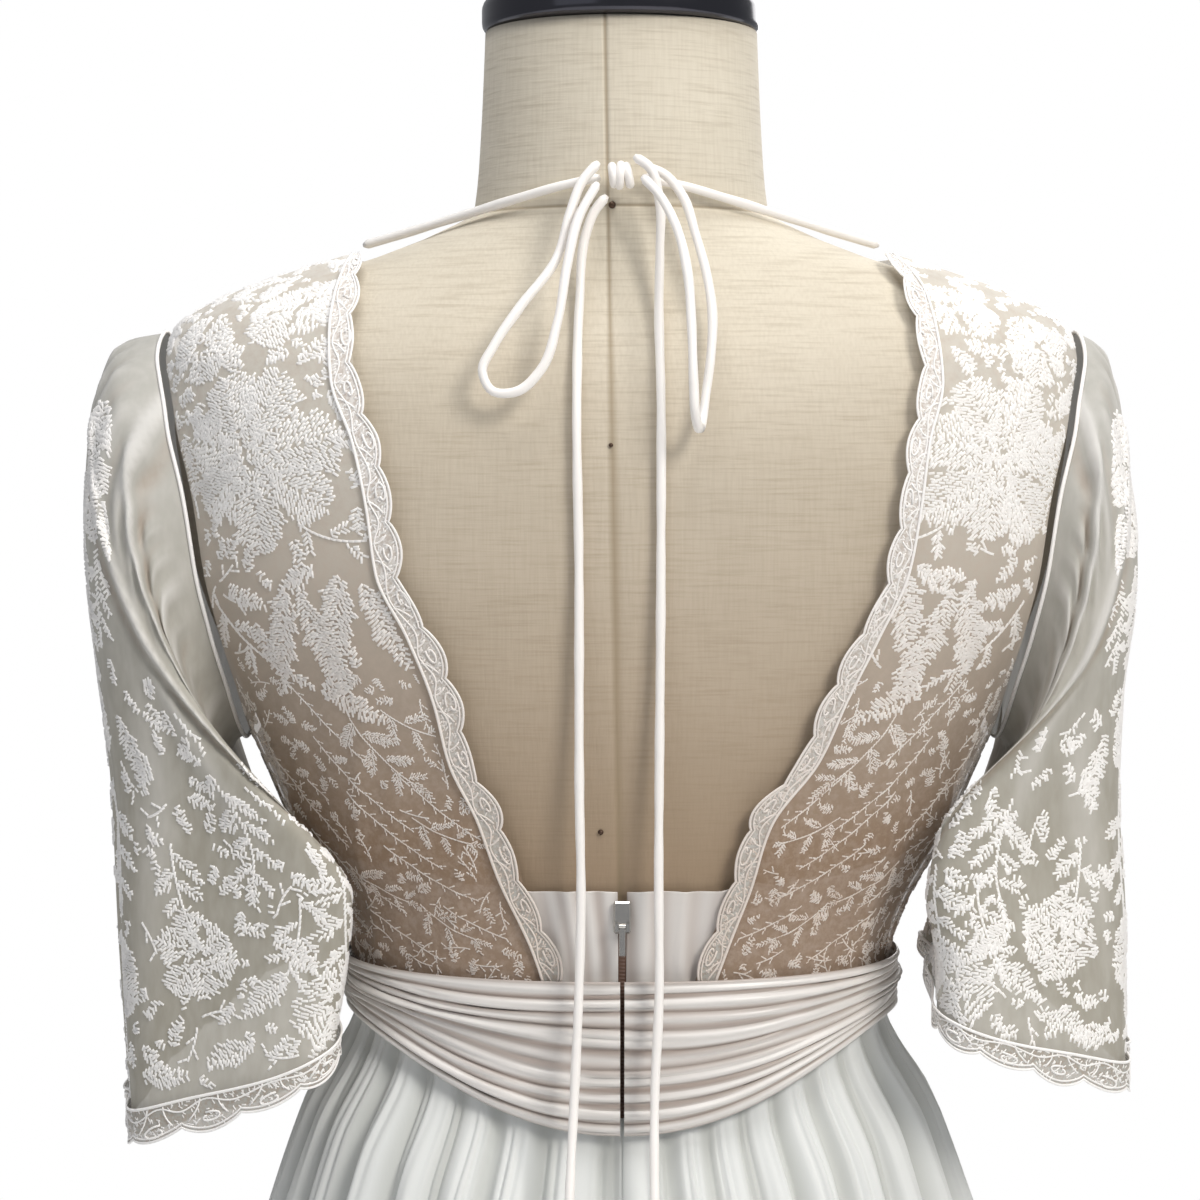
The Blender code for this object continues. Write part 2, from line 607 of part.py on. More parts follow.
def edgings():
    """Scalloped lace along both back edges and both sides of the front V."""
    for name, side, edge, parts in (("edging_back_left", 1, "back_left", 3),
                                    ("edging_back_right", -1, "back_right", 3),
                                    ("edging_front_left", 1, "front", 3),
                                    ("edging_front_right", -1, "front", 3)):
        front = edge == "front"
        low = 1.222 if front else 1.150
        fine = np.linspace(low, BODICE_ROWS[-1] - 1 * MM, 400)
        reach = edge_turn(edge, fine, LACE_LIFT)
        sign = -1 if front else 1
        line = on_form(sign * reach, fine, TRIM_LIFT)
        run = np.concatenate([[0], np.cumsum(np.linalg.norm(np.diff(line, axis=0), axis=1))])
        scallops = int(round(run[-1] / SCALLOP))
        marks = np.arange(scallops * parts + 1) / parts
        height = np.interp(marks / scallops * run[-1], run, fine)
        turn = np.interp(marks / scallops * run[-1], run, reach)
        radius = np.hypot(*on_form(sign * turn, height, TRIM_LIFT)[:, :2].T)
        wave = scallop_wave(marks)
        inner = turn - EDGING / radius
        outer = turn + (0.5 * MM + SCALLOP_HIGH * wave) / radius
        if front:
            outer = np.minimum(outer, np.pi / 2 - 1.5 * MM / radius)
        low_turn, high_turn = (inner, outer) if side > 0 else (np.pi - outer, np.pi - inner)
        if front:
            low_turn, high_turn = -high_turn, -low_turn
        turns = np.stack([low_turn, high_turn], 1)
        cloth(name, on_form(turns, height[:, None], TRIM_LIFT), "lace")


def solid_box(size, middle, bevel):
    """A box of a size about its middle, with its edges rounded over."""
    made = bmesh.new()
    bmesh.ops.create_cube(made, size=1.0)
    bmesh.ops.scale(made, vec=size, verts=made.verts)
    bmesh.ops.translate(made, vec=middle, verts=made.verts)
    if bevel:
        bmesh.ops.bevel(made, geom=made.edges[:], offset=bevel, segments=1, affect="EDGES")
    mesh = bpy.data.meshes.new("box")
    made.to_mesh(mesh)
    made.free()
    return mesh


def zip_pieces():
    """The zip's slider with two lugs, and the pull tab that hangs between them on its pin."""
    face = on_form(np.array(np.pi / 2), np.array(ZIP_HEIGHT), UNDER_LIFT + WALL + 1.1 * MM)
    front = float(face[1])
    hinge_z = ZIP_HEIGHT - SLIDER[2] * 0.25
    hinge_y = front + SLIDER[1] + LUG[1] * 0.5
    slider = place("zip_slider", solid_box(SLIDER, (0, front + SLIDER[1] / 2, ZIP_HEIGHT), 0.7 * MM), "nickel")
    cutters = bpy.data.collections["helpers"]
    for side in (-1, 1):
        middle = (side * LUG_APART / 2, front + SLIDER[1] + LUG[1] / 2 - 0.5 * MM, hinge_z)
        lug = bpy.data.objects.new("lug", solid_box((LUG[0], LUG[1] + 1.4 * MM, LUG[2]), middle, 0))
        lug.hide_render = True
        lug.display_type = "WIRE"
        cutters.objects.link(lug)
        join = slider.modifiers.new("lug", "BOOLEAN")
        join.operation = "UNION"
        join.object = lug
    pin = bmesh.new()
    bmesh.ops.create_cone(pin, cap_ends=True, segments=12, radius1=PULL_PIN, radius2=PULL_PIN,
                          depth=PULL_WIDTH)
    bmesh.ops.rotate(pin, cent=(0, 0, 0), matrix=Matrix.Rotation(np.pi / 2, 3, "Y"), verts=pin.verts)
    mesh = bpy.data.meshes.new("zip_pull")
    pin.to_mesh(mesh)
    pin.free()
    pull = place("zip_pull", mesh, "nickel")
    pull.location = (0, hinge_y, hinge_z)
    tab = bpy.data.objects.new("tab", solid_box((PULL_WIDTH * 0.98, PULL_THICK, PULL_LENGTH),
                                                (0, 0, -PULL_LENGTH / 2), 0.3 * MM))
    tab.parent = pull
    tab.hide_render = True
    tab.display_type = "WIRE"
    cutters.objects.link(tab)
    join = pull.modifiers.new("tab", "BOOLEAN")
    join.operation = "UNION"
    join.object = tab


def route_curve(points, step):
    """Points a step apart on a smooth curve through the route's own points."""
    points = np.asarray(points, float)
    run = np.concatenate([[0], np.cumsum(np.linalg.norm(np.diff(points, axis=0), axis=1))])
    slope = np.gradient(points, run, axis=0)
    fine = np.linspace(0, run[-1], 900)
    row = np.clip(np.searchsorted(run, fine) - 1, 0, len(run) - 2)
    width = (run[row + 1] - run[row])[:, None]
    t = ((fine - run[row])[:, None]) / width
    curve = ((1 + 2 * t) * (1 - t) ** 2 * points[row] + t * (1 - t) ** 2 * width * slope[row]
             + t * t * (3 - 2 * t) * points[row + 1] + t * t * (t - 1) * width * slope[row + 1])
    length = np.concatenate([[0], np.cumsum(np.linalg.norm(np.diff(curve, axis=0), axis=1))])
    marks = np.linspace(0, length[-1], int(round(length[-1] / step)) + 1)
    return np.stack([np.interp(marks, length, curve[:, axis]) for axis in range(3)], 1)


def ties():
    """Rouleau cords from the shoulders to the nape, two loops, two tails and the knot."""
    for name, route in TIES.items():
        points = route_curve(route, TIE_STEP)
        data = bpy.data.curves.new(name, "CURVE")
        data.dimensions = "3D"
        data.bevel_depth = TIE_DIAMETER / 2
        data.bevel_resolution = 2
        data.use_fill_caps = True
        line = data.splines.new("POLY")
        line.points.add(len(points) - 1)
        line.points.foreach_set("co", np.column_stack([points, np.ones(len(points))]).ravel())
        place(name, data, "cord")
    ball = bmesh.new()
    bmesh.ops.create_uvsphere(ball, u_segments=12, v_segments=7, radius=1.0)
    bmesh.ops.scale(ball, vec=KNOT_HALF, verts=ball.verts)
    bmesh.ops.translate(ball, vec=KNOT_MIDDLE, verts=ball.verts)
    mesh = bpy.data.meshes.new("bow_knot")
    ball.to_mesh(mesh)
    ball.free()
    mesh.shade_smooth()
    place("bow_knot", mesh, "cord")


def main():
    """Build every piece."""
    clear_scene()
    for name in ("wedding_dress", "helpers"):
        bpy.context.scene.collection.children.link(bpy.data.collections.new(name))
    dress_form()
    stand()
    under_bodice()
    bodice()
    edgings()
    sleeves()
    waistband()
    skirt_panels()
    zip_pieces()
    ties()


main()
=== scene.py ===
"""Looks for a wedding dress on its limbless dress form, open at the back.

Corded lace on net, sheer elbow sleeves, a satin under-bodice with a centre-back zip, a draped
satin waistband, a gathered chiffon skirt, and rouleau ties that meet in a bow at the nape.
Metres, +Z up. The garment's front faces -Y and its back +Y, so its left side is at +X.
"""

import bpy
import numpy as np
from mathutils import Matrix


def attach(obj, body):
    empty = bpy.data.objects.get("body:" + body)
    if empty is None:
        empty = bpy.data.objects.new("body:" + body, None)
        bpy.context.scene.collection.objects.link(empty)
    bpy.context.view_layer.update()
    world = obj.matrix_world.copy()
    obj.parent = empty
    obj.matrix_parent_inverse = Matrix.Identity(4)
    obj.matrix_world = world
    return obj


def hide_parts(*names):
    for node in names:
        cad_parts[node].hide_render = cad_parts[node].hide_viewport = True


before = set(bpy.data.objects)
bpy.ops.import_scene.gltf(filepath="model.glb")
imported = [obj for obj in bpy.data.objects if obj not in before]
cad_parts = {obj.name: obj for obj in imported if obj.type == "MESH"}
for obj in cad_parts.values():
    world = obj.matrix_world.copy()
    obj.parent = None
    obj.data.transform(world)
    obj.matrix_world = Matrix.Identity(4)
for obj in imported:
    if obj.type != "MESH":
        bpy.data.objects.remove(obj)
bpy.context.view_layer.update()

bl_info = {
    "name": "Wedding dress on a dress form",
    "version": (1, 0, 0),
    "blender": (4, 5, 0),
    "location": "3D View > Sidebar > Dress",
    "description": "Builds the cloth, lace, ties and form of a wedding dress around its frame",
    "category": "Object",
}

BODY = "dress_and_form"
MM = 0.001
TURN = 2 * np.pi
BACK = np.pi / 2

# Layers, counted out from the form's surface
UNDER_LIFT = 2.1 * MM
SKIRT_LIFT = 3.1 * MM
LACE_LIFT = 5.1 * MM
TRIM_LIFT = 7.1 * MM
BAND_LIFT = 7.3 * MM
SLEEVE_LIFT = 8.0 * MM
SEAM_GAP = 0.6 * MM

# The dress form: one row for each level, from the hip up to the neck's top
FORM_COLUMNS = ("z", "half_width", "front", "back", "power")
FORM = (
    (0.790, 0.150, 0.098, 0.108, 0.95),
    (0.850, 0.163, 0.105, 0.118, 0.95),
    (0.900, 0.160, 0.104, 0.113, 0.95),
    (0.960, 0.146, 0.101, 0.097, 0.95),
    (1.010, 0.128, 0.098, 0.082, 0.94),
    (1.055, 0.114, 0.094, 0.073, 0.93),
    (1.095, 0.108, 0.094, 0.070, 0.92),
    (1.147, 0.110, 0.101, 0.071, 0.91),
    (1.170, 0.118, 0.108, 0.073, 0.90),
    (1.196, 0.133, 0.117, 0.076, 0.88),
    (1.226, 0.146, 0.122, 0.079, 0.86),
    (1.260, 0.161, 0.119, 0.082, 0.83),
    (1.285, 0.172, 0.110, 0.083, 0.80),
    (1.311, 0.180, 0.100, 0.084, 0.78),
    (1.340, 0.184, 0.090, 0.084, 0.77),
    (1.370, 0.188, 0.080, 0.081, 0.78),
    (1.392, 0.188, 0.072, 0.076, 0.80),
    (1.405, 0.184, 0.066, 0.071, 0.84),
    (1.416, 0.168, 0.061, 0.066, 0.88),
    (1.426, 0.142, 0.057, 0.062, 0.91),
    (1.435, 0.113, 0.054, 0.059, 0.93),
    (1.444, 0.088, 0.052, 0.057, 0.95),
    (1.451, 0.072, 0.052, 0.056, 0.97),
    (1.458, 0.062, 0.052, 0.056, 1.00),
    (1.490, 0.059, 0.053, 0.055, 1.00),
    (1.532, 0.057, 0.054, 0.054, 1.00),
)

# How far the two back edges and the front V stand from the middle at each height
NECK_COLUMNS = ("z", "back_left", "back_right", "front")
NECK = (
    (1.130, 0.020, 0.021, -0.004),
    (1.160, 0.027, 0.031, -0.004),
    (1.185, 0.036, 0.042, -0.004),
    (1.210, 0.045, 0.051, 0.001),
    (1.235, 0.059, 0.069, 0.017),
    (1.260, 0.066, 0.079, 0.029),
    (1.285, 0.076, 0.091, 0.041),
    (1.310, 0.088, 0.103, 0.053),
    (1.335, 0.0905, 0.108, 0.064),
    (1.360, 0.095, 0.112, 0.075),
    (1.385, 0.104, 0.119, 0.085),
    (1.415, 0.106, 0.116, 0.097),
    (1.436, 0.107, 0.106, 0.106),
)
BODICE_LOW = 1.137
BODICE_HIGH = 1.434
EDGE_INSET = 4 * MM
ARMHOLE_TOP = 1.405
ARMHOLE_BOTTOM = 1.238
ARMHOLE_ANGLE = 0.43

# Strapless under-bodice: height of its top edge by the angle round from centre back
UNDER_BOTTOM = 1.135
UNDER_COLUMNS = ("degrees", "top")
UNDER = ((0.0, 1.181), (45.0, 1.188), (90.0, 1.212), (130.0, 1.258), (155.0, 1.266), (180.0, 1.246))

# Waistband: its edges, and its folds as shares of its width with the height each stands
BAND_TOP = 1.146
BAND_SIDE = 1.123
BAND_DROP_BACK = 0.040
BAND_DROP_FRONT = 0.030
BAND_COLUMNS = ("across", "stand_mm")
BAND_FOLDS = (
    (0.000, 1.0), (0.060, 2.6), (0.105, 0.7), (0.175, 3.1), (0.230, 0.8), (0.285, 2.3), (0.330, 0.9),
    (0.405, 3.3), (0.460, 0.8), (0.510, 2.2), (0.560, 1.0), (0.635, 3.0), (0.690, 0.7), (0.740, 2.4),
    (0.790, 0.9), (0.860, 3.1), (0.910, 0.8), (0.960, 2.5), (1.000, 1.3),
)

# Skirt: the share of its flare and the depth of its gathers by the share of its drop
HEM_HEIGHT = 0.020
SKIRT_TUCK = 6.0 * MM
HEM_HALF_WIDTH = 0.405
HEM_FRONT = 0.392
HEM_BACK = 0.400
SKIRT_COLUMNS = ("drop", "flare", "fold_mm")
SKIRT = (
    (0.000, 0.000, 1.3),
    (0.008, 0.001, 1.4),
    (0.045, 0.068, 4.5),
    (0.160, 0.203, 8.0),
    (0.440, 0.540, 13.0),
    (1.000, 1.000, 20.0),
)
GATHERS = 36

# Sleeves: the outer and the inner line from the armhole to the hem, half the depth, how far
# the back swings in behind the body, and how much lower the back hangs than the front
SLEEVE_COLUMNS = ("along", "outer_x", "outer_z", "inner_x", "inner_z", "half_depth", "swing", "back_drop")
SLEEVE_LEFT = (
    (0.00, 0.2000, 1.408, 0.170, 1.236, 0.050, 0.000, 0.000),
    (0.07, 0.2110, 1.402, 0.167, 1.230, 0.055, 0.000, 0.000),
    (0.18, 0.2235, 1.372, 0.164, 1.222, 0.060, 0.005, 0.000),
    (0.32, 0.2268, 1.325, 0.158, 1.208, 0.065, 0.018, 0.001),
    (0.47, 0.2225, 1.272, 0.152, 1.192, 0.069, 0.040, 0.002),
    (0.64, 0.2152, 1.212, 0.145, 1.173, 0.073, 0.067, 0.003),
    (0.80, 0.2125, 1.150, 0.139, 1.155, 0.077, 0.070, 0.004),
    (1.00, 0.2085, 1.070, 0.133, 1.136, 0.083, 0.062, 0.006),
)
SLEEVE_RIGHT = (
    (0.00, 0.1980, 1.408, 0.168, 1.236, 0.050, 0.000, 0.000),
    (0.07, 0.2030, 1.400, 0.165, 1.230, 0.055, 0.000, 0.000),
    (0.18, 0.2120, 1.366, 0.162, 1.222, 0.060, 0.005, 0.000),
    (0.32, 0.2178, 1.314, 0.157, 1.208, 0.065, 0.022, 0.000),
    (0.47, 0.2125, 1.262, 0.151, 1.192, 0.069, 0.058, 0.001),
    (0.64, 0.2105, 1.209, 0.145, 1.174, 0.073, 0.060, 0.001),
    (0.80, 0.2135, 1.158, 0.139, 1.158, 0.078, 0.050, 0.002),
    (1.00, 0.2145, 1.092, 0.133, 1.140, 0.084, 0.042, 0.002),
)
SLEEVE_LENGTH = 0.34
SLEEVE_END = 0.985
ARMHOLE_SEAM_AT = 0.011
ARMHOLE_SEAM_RADIUS = 0.85 * MM
SLEEVE_FOLDS = 7
SLEEVE_FOLD = 3.2 * MM

# Scalloped edging
SCALLOP = 22 * MM
SCALLOP_HIGH = 4 * MM
EDGING = 9 * MM
SLEEVE_SCALLOPS = 18

# Zip, stand and neck cap
ZIP_HEIGHT = 1.172
BASE_RADIUS = 0.200
BASE_THICK = 0.016
HUB_RADIUS = 0.030
HUB_TOP = 0.045
POLE_RADIUS = 0.0125
CAP_RADIUS = 0.0585
CAP_RIM = 0.012
CAP_DOME = 0.020
KNOB_RADIUS = 0.011
KNOB_TOP = 1.590

# Rouleau ties, as points listed along each
TIE_DIAMETER = 3.8 * MM
KNOT_MIDDLE = (0.0006, 0.0662, 1.4668)
KNOT_HALF = (0.0060, 0.0050, 0.0050)
TIES = {
    "tie_left": ((0.0090, 0.0606, 1.4666), (0.0247, 0.0560, 1.4636), (0.0392, 0.0486, 1.4602),
                 (0.0584, 0.0345, 1.4557), (0.0932, 0.0100, 1.4475), (0.1085, 0.0010, 1.4440)),
    "tie_right": ((-0.0080, 0.0606, 1.4666), (-0.0247, 0.0560, 1.4636),
                  (-0.0392, 0.0486, 1.4602), (-0.0584, 0.0345, 1.4557),
                  (-0.0932, 0.0100, 1.4475), (-0.1085, 0.0010, 1.4440)),
    "bow_loop_left": ((0.0095, 0.0670, 1.4718), (0.0160, 0.0690, 1.4640),
                      (0.0205, 0.0715, 1.4520), (0.0262, 0.0765, 1.4330),
                      (0.0402, 0.0830, 1.4140), (0.0505, 0.0870, 1.3985),
                      (0.0548, 0.0888, 1.3890), (0.0510, 0.0900, 1.3812),
                      (0.0415, 0.0910, 1.3808), (0.0318, 0.0905, 1.3895),
                      (0.0255, 0.0875, 1.4080), (0.0218, 0.0825, 1.4300),
                      (0.0170, 0.0765, 1.4500), (0.0098, 0.0725, 1.4632)),
    "bow_loop_right": ((-0.0088, 0.0648, 1.4706), (-0.0170, 0.0655, 1.4670),
                       (-0.0236, 0.0668, 1.4590), (-0.0290, 0.0700, 1.4430),
                       (-0.0330, 0.0745, 1.4280), (-0.0352, 0.0790, 1.4130),
                       (-0.0345, 0.0840, 1.3950), (-0.0325, 0.0865, 1.3800),
                       (-0.0310, 0.0902, 1.3700), (-0.0295, 0.0965, 1.3665),
                       (-0.0280, 0.1015, 1.3710), (-0.0272, 0.1022, 1.3830),
                       (-0.0265, 0.0985, 1.4050), (-0.0250, 0.0920, 1.4270),
                       (-0.0205, 0.0845, 1.4460), (-0.0135, 0.0790, 1.4590),
                       (-0.0078, 0.0762, 1.4652)),
    "tie_tail_left": ((0.0062, 0.0640, 1.4590), (0.0110, 0.0640, 1.4530),
                      (0.0144, 0.0650, 1.4440), (0.0170, 0.0700, 1.4170),
                      (0.0180, 0.0835, 1.3780), (0.0172, 0.0872, 1.3150),
                      (0.0170, 0.0880, 1.2200), (0.0164, 0.0882, 1.1800),
                      (0.0173, 0.0890, 1.1430), (0.0190, 0.0925, 1.1040),
                      (0.0208, 0.1040, 1.0660), (0.0222, 0.1220, 1.0200),
                      (0.0224, 0.1390, 0.9750), (0.0220, 0.1515, 0.9400)),
    "tie_tail_right": ((-0.0046, 0.0705, 1.4738), (-0.0105, 0.0716, 1.4696),
                       (-0.0145, 0.0708, 1.4570), (-0.0148, 0.0698, 1.4370),
                       (-0.0144, 0.0715, 1.4173), (-0.0150, 0.0838, 1.3780),
                       (-0.0150, 0.0872, 1.3150), (-0.0143, 0.0882, 1.1800),
                       (-0.0145, 0.0890, 1.1430), (-0.0128, 0.0925, 1.1040),
                       (-0.0125, 0.1040, 1.0660), (-0.0136, 0.1220, 1.0200),
                       (-0.0150, 0.1390, 0.9750), (-0.0158, 0.1480, 0.9500)),
}


def smooth(x, xs, ys):
    """Value at x on a smooth curve through a table, by cubic pieces that never overshoot its rows."""
    xs = np.asarray(xs, float)
    ys = np.asarray(ys, float)
    step = np.diff(xs)
    rise = np.diff(ys) / step
    product = rise[1:] * rise[:-1]
    total = rise[1:] + rise[:-1]
    slope = np.concatenate(([rise[0]], np.zeros(len(xs) - 2), [rise[-1]]))
    slope[1:-1] = np.where(product > 0, 2 * product / np.where(total == 0, 1, total), 0)
    x = np.clip(x, xs[0], xs[-1])
    row = np.clip(np.searchsorted(xs, x) - 1, 0, len(step) - 1)
    t = (x - xs[row]) / step[row]
    start = (1 + 2 * t) * (1 - t) ** 2 * ys[row] + t * (1 - t) ** 2 * step[row] * slope[row]
    end = t * t * (3 - 2 * t) * ys[row + 1] + t * t * (t - 1) * step[row] * slope[row + 1]
    return start + end


def reader(table, columns, key):
    """A function that reads any named column of a table at a value of its key column."""
    rows = np.array(table)
    keys = rows[:, columns.index(key)]
    return lambda name, x: smooth(x, keys, rows[:, columns.index(name)])


form = reader(FORM, FORM_COLUMNS, "z")
neck = reader(NECK, NECK_COLUMNS, "z")
under = reader(UNDER, UNDER_COLUMNS, "degrees")
skirt = reader(SKIRT, SKIRT_COLUMNS, "drop")
band_stand = reader(BAND_FOLDS, BAND_COLUMNS, "across")
SLEEVES = {
    1: reader(SLEEVE_LEFT, SLEEVE_COLUMNS, "along"),
    -1: reader(SLEEVE_RIGHT, SLEEVE_COLUMNS, "along"),
}


def bell(x, middle, width):
    """A soft ridge: 1 at its middle and near 0 two widths away."""
    return np.exp(-((x - middle) / width) ** 2)


def ease(x, low, high):
    """0 below low and 1 above high, turning smoothly between them."""
    share = np.clip((x - low) / (high - low), 0, 1)
    return share * share * (3 - 2 * share)


def oval(half_width, front, back, power, turn, height):
    """A point at an angle round an oval: cosine and sine raised to a power, each times its radius."""
    across = np.cos(turn)
    deep = np.sin(turn)
    depth = np.where(deep >= 0, back, front)
    x = half_width * np.sign(across) * np.abs(across) ** power
    y = depth * np.sign(deep) * np.abs(deep) ** power
    return np.stack(np.broadcast_arrays(x, y, height), -1)


def from_back(turn):
    """How far an angle is from centre back, either way round."""
    return np.abs((turn - BACK + np.pi) % TURN - np.pi)


def run_along(points):
    """Lengths along a line of points, from 0 at its first to the whole at its last."""
    return np.concatenate([[0], np.cumsum(np.linalg.norm(np.diff(points, axis=0), axis=1))])


def form_surface(turn, height):
    """The dress form by angle and height: an oval whose radii and power follow the form's table."""
    return oval(form("half_width", height), form("front", height), form("back", height),
                form("power", height), turn, height)


def frames(surface, turn, along, out=1):
    """Points of a surface with unit vectors along each parameter and out, by small differences."""
    d_turn = 0.01
    d_along = 0.002
    across = (surface(turn + d_turn, along) - surface(turn - d_turn, along)) / (2 * d_turn)
    up = (surface(turn, along + d_along) - surface(turn, along - d_along)) / (2 * d_along)
    normal = np.cross(across, up)
    normal /= np.linalg.norm(normal, axis=-1, keepdims=True)
    first = across / np.linalg.norm(across, axis=-1, keepdims=True)
    return surface(turn, along), first, np.cross(normal, first), normal * out


def lifted(surface, turn, along, lift, out=1):
    """A surface's points moved out by a lift, square to the surface."""
    points, _, _, normal = frames(surface, turn, along, out)
    return points + np.asarray(lift)[..., None] * normal


def on_form(turn, height, lift):
    """A point a lift away from the form."""
    height = np.clip(height, FORM[0][0] + 3 * MM, FORM[-1][0] - 3 * MM)
    return lifted(form_surface, turn, height, lift)


def armhole_turn(height):
    """Half the armhole's opening as an angle: a half ellipse over its height."""
    middle = (ARMHOLE_TOP + ARMHOLE_BOTTOM) / 2
    half = (ARMHOLE_TOP - ARMHOLE_BOTTOM) / 2
    return ARMHOLE_ANGLE * np.sqrt(np.clip(1 - ((height - middle) / half) ** 2, 0, None))


def side_turn(reach, height, lift):
    """The angle from the side at which the form, a lift out, is a reach away from the middle."""
    share = np.clip(reach / (form("half_width", height) + lift), 0, 1)
    return np.arccos(share ** (1 / form("power", height)))


def edge_turn(edge, height, lift):
    """The angle at which a panel ends, inside the scallops of its neck edge."""
    return side_turn(neck(edge, height) + EDGE_INSET, height, lift)


# The bodice's creases: angle at 1.20 m up, slant in radians a metre, depth in mm, width in radians
DRAGS = (
    (0.34, 2.6, 1.3, 0.045),
    (0.55, 3.4, -0.9, 0.05),
    (0.73, 3.9, 1.1, 0.04),
    (0.95, 4.4, -0.8, 0.05),
    (1.15, 4.2, 0.8, 0.04),
)


def drag_lines(turn, height):
    """Soft creases of the bodice: five slanting ridges and troughs on each side, each a bell across
    a line that runs from the armhole down towards the waist, in metres."""
    side = np.abs((turn + np.pi) % TURN - np.pi)
    side = np.where(side > BACK, np.pi - side, side)
    low = 1 - ease(height, 1.22, 1.30)
    total = 0.0
    for start, slant, depth, wide in DRAGS:
        total = total + depth * bell(side, start + slant * (height - 1.20), wide)
    fullness = 0.7 * bell(side, 0.62, 0.25) * bell(height, 1.315, 0.05)
    return (total * low + fullness) * MM * ease(height, 1.138, 1.155)


def bodice_surface(turn, height):
    """The bodice's net by angle and height: the form a lift out, with its drag lines."""
    return on_form(turn, height, LACE_LIFT + drag_lines(turn, height))


def under_top(turn):
    """Top edge of the under-bodice at an angle, the same on both sides of centre back."""
    return under("top", np.degrees(from_back(turn)))


# Pleats of the under-bodice: angle, depth in mm, width in radians
PLEATS = (
    (1.735, 1.3, 0.020), (1.79, -0.7, 0.020), (1.845, 1.2, 0.022), (1.92, 0.9, 0.024), (2.02, -0.5, 0.04),
    (2.10, 0.6, 0.03), (1.42, 0.7, 0.022), (1.36, -0.5, 0.025), (1.20, 0.7, 0.05), (1.02, -0.5, 0.06),
)


def under_surface(turn, share):
    """The under-bodice by angle and share of its height, with small upright pleats beside the zip,
    and fine puckers under its top edge. Each pleat is a bell round an angle."""
    height = UNDER_BOTTOM + share * (under_top(turn) - UNDER_BOTTOM)
    pleats = 0.0
    for middle, depth, wide in PLEATS:
        pleats = pleats + depth * bell(turn, middle + 0.03 * (1 - share), wide)
    pucker = 0.35 * np.sin(34 * turn + 3 * np.sin(5 * turn)) * ease(share, 0.55, 1.0)
    return on_form(turn + 0 * share, height, UNDER_LIFT + (0.9 * pleats + pucker) * MM)


def band_bottom(turn):
    """Lower edge of the waistband: deep at centre back and front, narrow at the sides."""
    deep = np.sin(turn)
    drop = np.where(deep > 0, BAND_DROP_BACK, BAND_DROP_FRONT)
    return BAND_SIDE - drop * np.abs(deep) ** 3


def band_surface(turn, share):
    """The waistband by angle and share of its width: the table's folds, which wander and swell as
    they run round, with finer folds between them that die away from the zip, and small puckers
    beside it."""
    wander = 0.15 * share * (1 - share) * np.sin(2.0 * turn + 6.0 * share)
    wander = wander + 0.05 * share * (1 - share) * np.sin(5.3 * turn + 12.0 * share)
    height = BAND_TOP + (share + wander) * (band_bottom(turn) - BAND_TOP)
    drift = 0.010 * np.sin(4.0 * turn + 7.0) * np.sin(np.pi * share)
    stand = band_stand("stand_mm", share + drift)
    swell = 0.70 + 0.30 * np.sin(3.1 * turn + 11 * share + 1.5 * np.sin(2 * turn))
    near = bell(from_back(turn), 0.0, 0.75)
    fine = 0.45 * np.sin(TURN * 19 * share + 2.5 * np.sin(1.5 * turn)) * (0.35 + 0.65 * near)
    placket = bell(from_back(turn), 0.075, 0.07)
    fine = fine + 0.55 * np.sin(TURN * 27 * share + 5 * np.sin(7 * share)) * placket
    ends = ease(share, 0.0, 0.03) * ease(1 - share, 0.0, 0.03)
    return on_form(turn + 0 * share, height, BAND_LIFT + (stand * swell + fine * ends) * MM)


def gather_phase(turn):
    """Phase of the gathers round the waist, which wanders so that no two are alike."""
    wander = 1.5 * np.sin(3 * turn + 0.7) + 0.9 * np.sin(5 * turn + 2.1) + 0.6 * np.sin(8 * turn + 4.0)
    return GATHERS * turn + wander


def skirt_surface(turn, drop):
    """The skirt by angle and share of its drop: a cone from the waist to the hem's oval, whose
    gathers are a cosine of the wandering phase. Its second wave narrows the ridges, and fine
    gathers under the band fade out below it."""
    phase = gather_phase(turn)
    uneven = 0.70 + 0.20 * np.sin(0.83 * phase + 1.0) + 0.14 * np.sin(0.37 * phase + 4.0)
    sway = 0.35 * np.sin(phase / 3.1 + 2.0) * ease(drop, 0.05, 0.6)
    wave = np.cos(phase + sway) + 0.22 * np.cos(2 * phase + 0.6) * ease(drop, 0.02, 0.2)
    fold = skirt("fold_mm", drop) * MM * uneven * wave
    fresh = bell(drop, 0.035, 0.05) * ease(drop, 0.004, 0.02)
    fine = 1.1 * MM * np.cos(3.3 * phase + 2.0 * np.sin(1.3 * phase)) * fresh
    flare = skirt("flare", drop)[..., None]
    top = band_bottom(turn) + SKIRT_TUCK
    waist = on_form(turn, top, SKIRT_LIFT)
    hem = oval(HEM_HALF_WIDTH, HEM_FRONT, HEM_BACK, 1.0, turn, HEM_HEIGHT)
    out = np.stack([np.cos(turn), np.sin(turn), 0 * turn], -1)
    points = waist * (1 - flare) + hem * flare + (fold + fine)[..., None] * out
    points[..., 2] = top + (HEM_HEIGHT - top) * drop
    return points


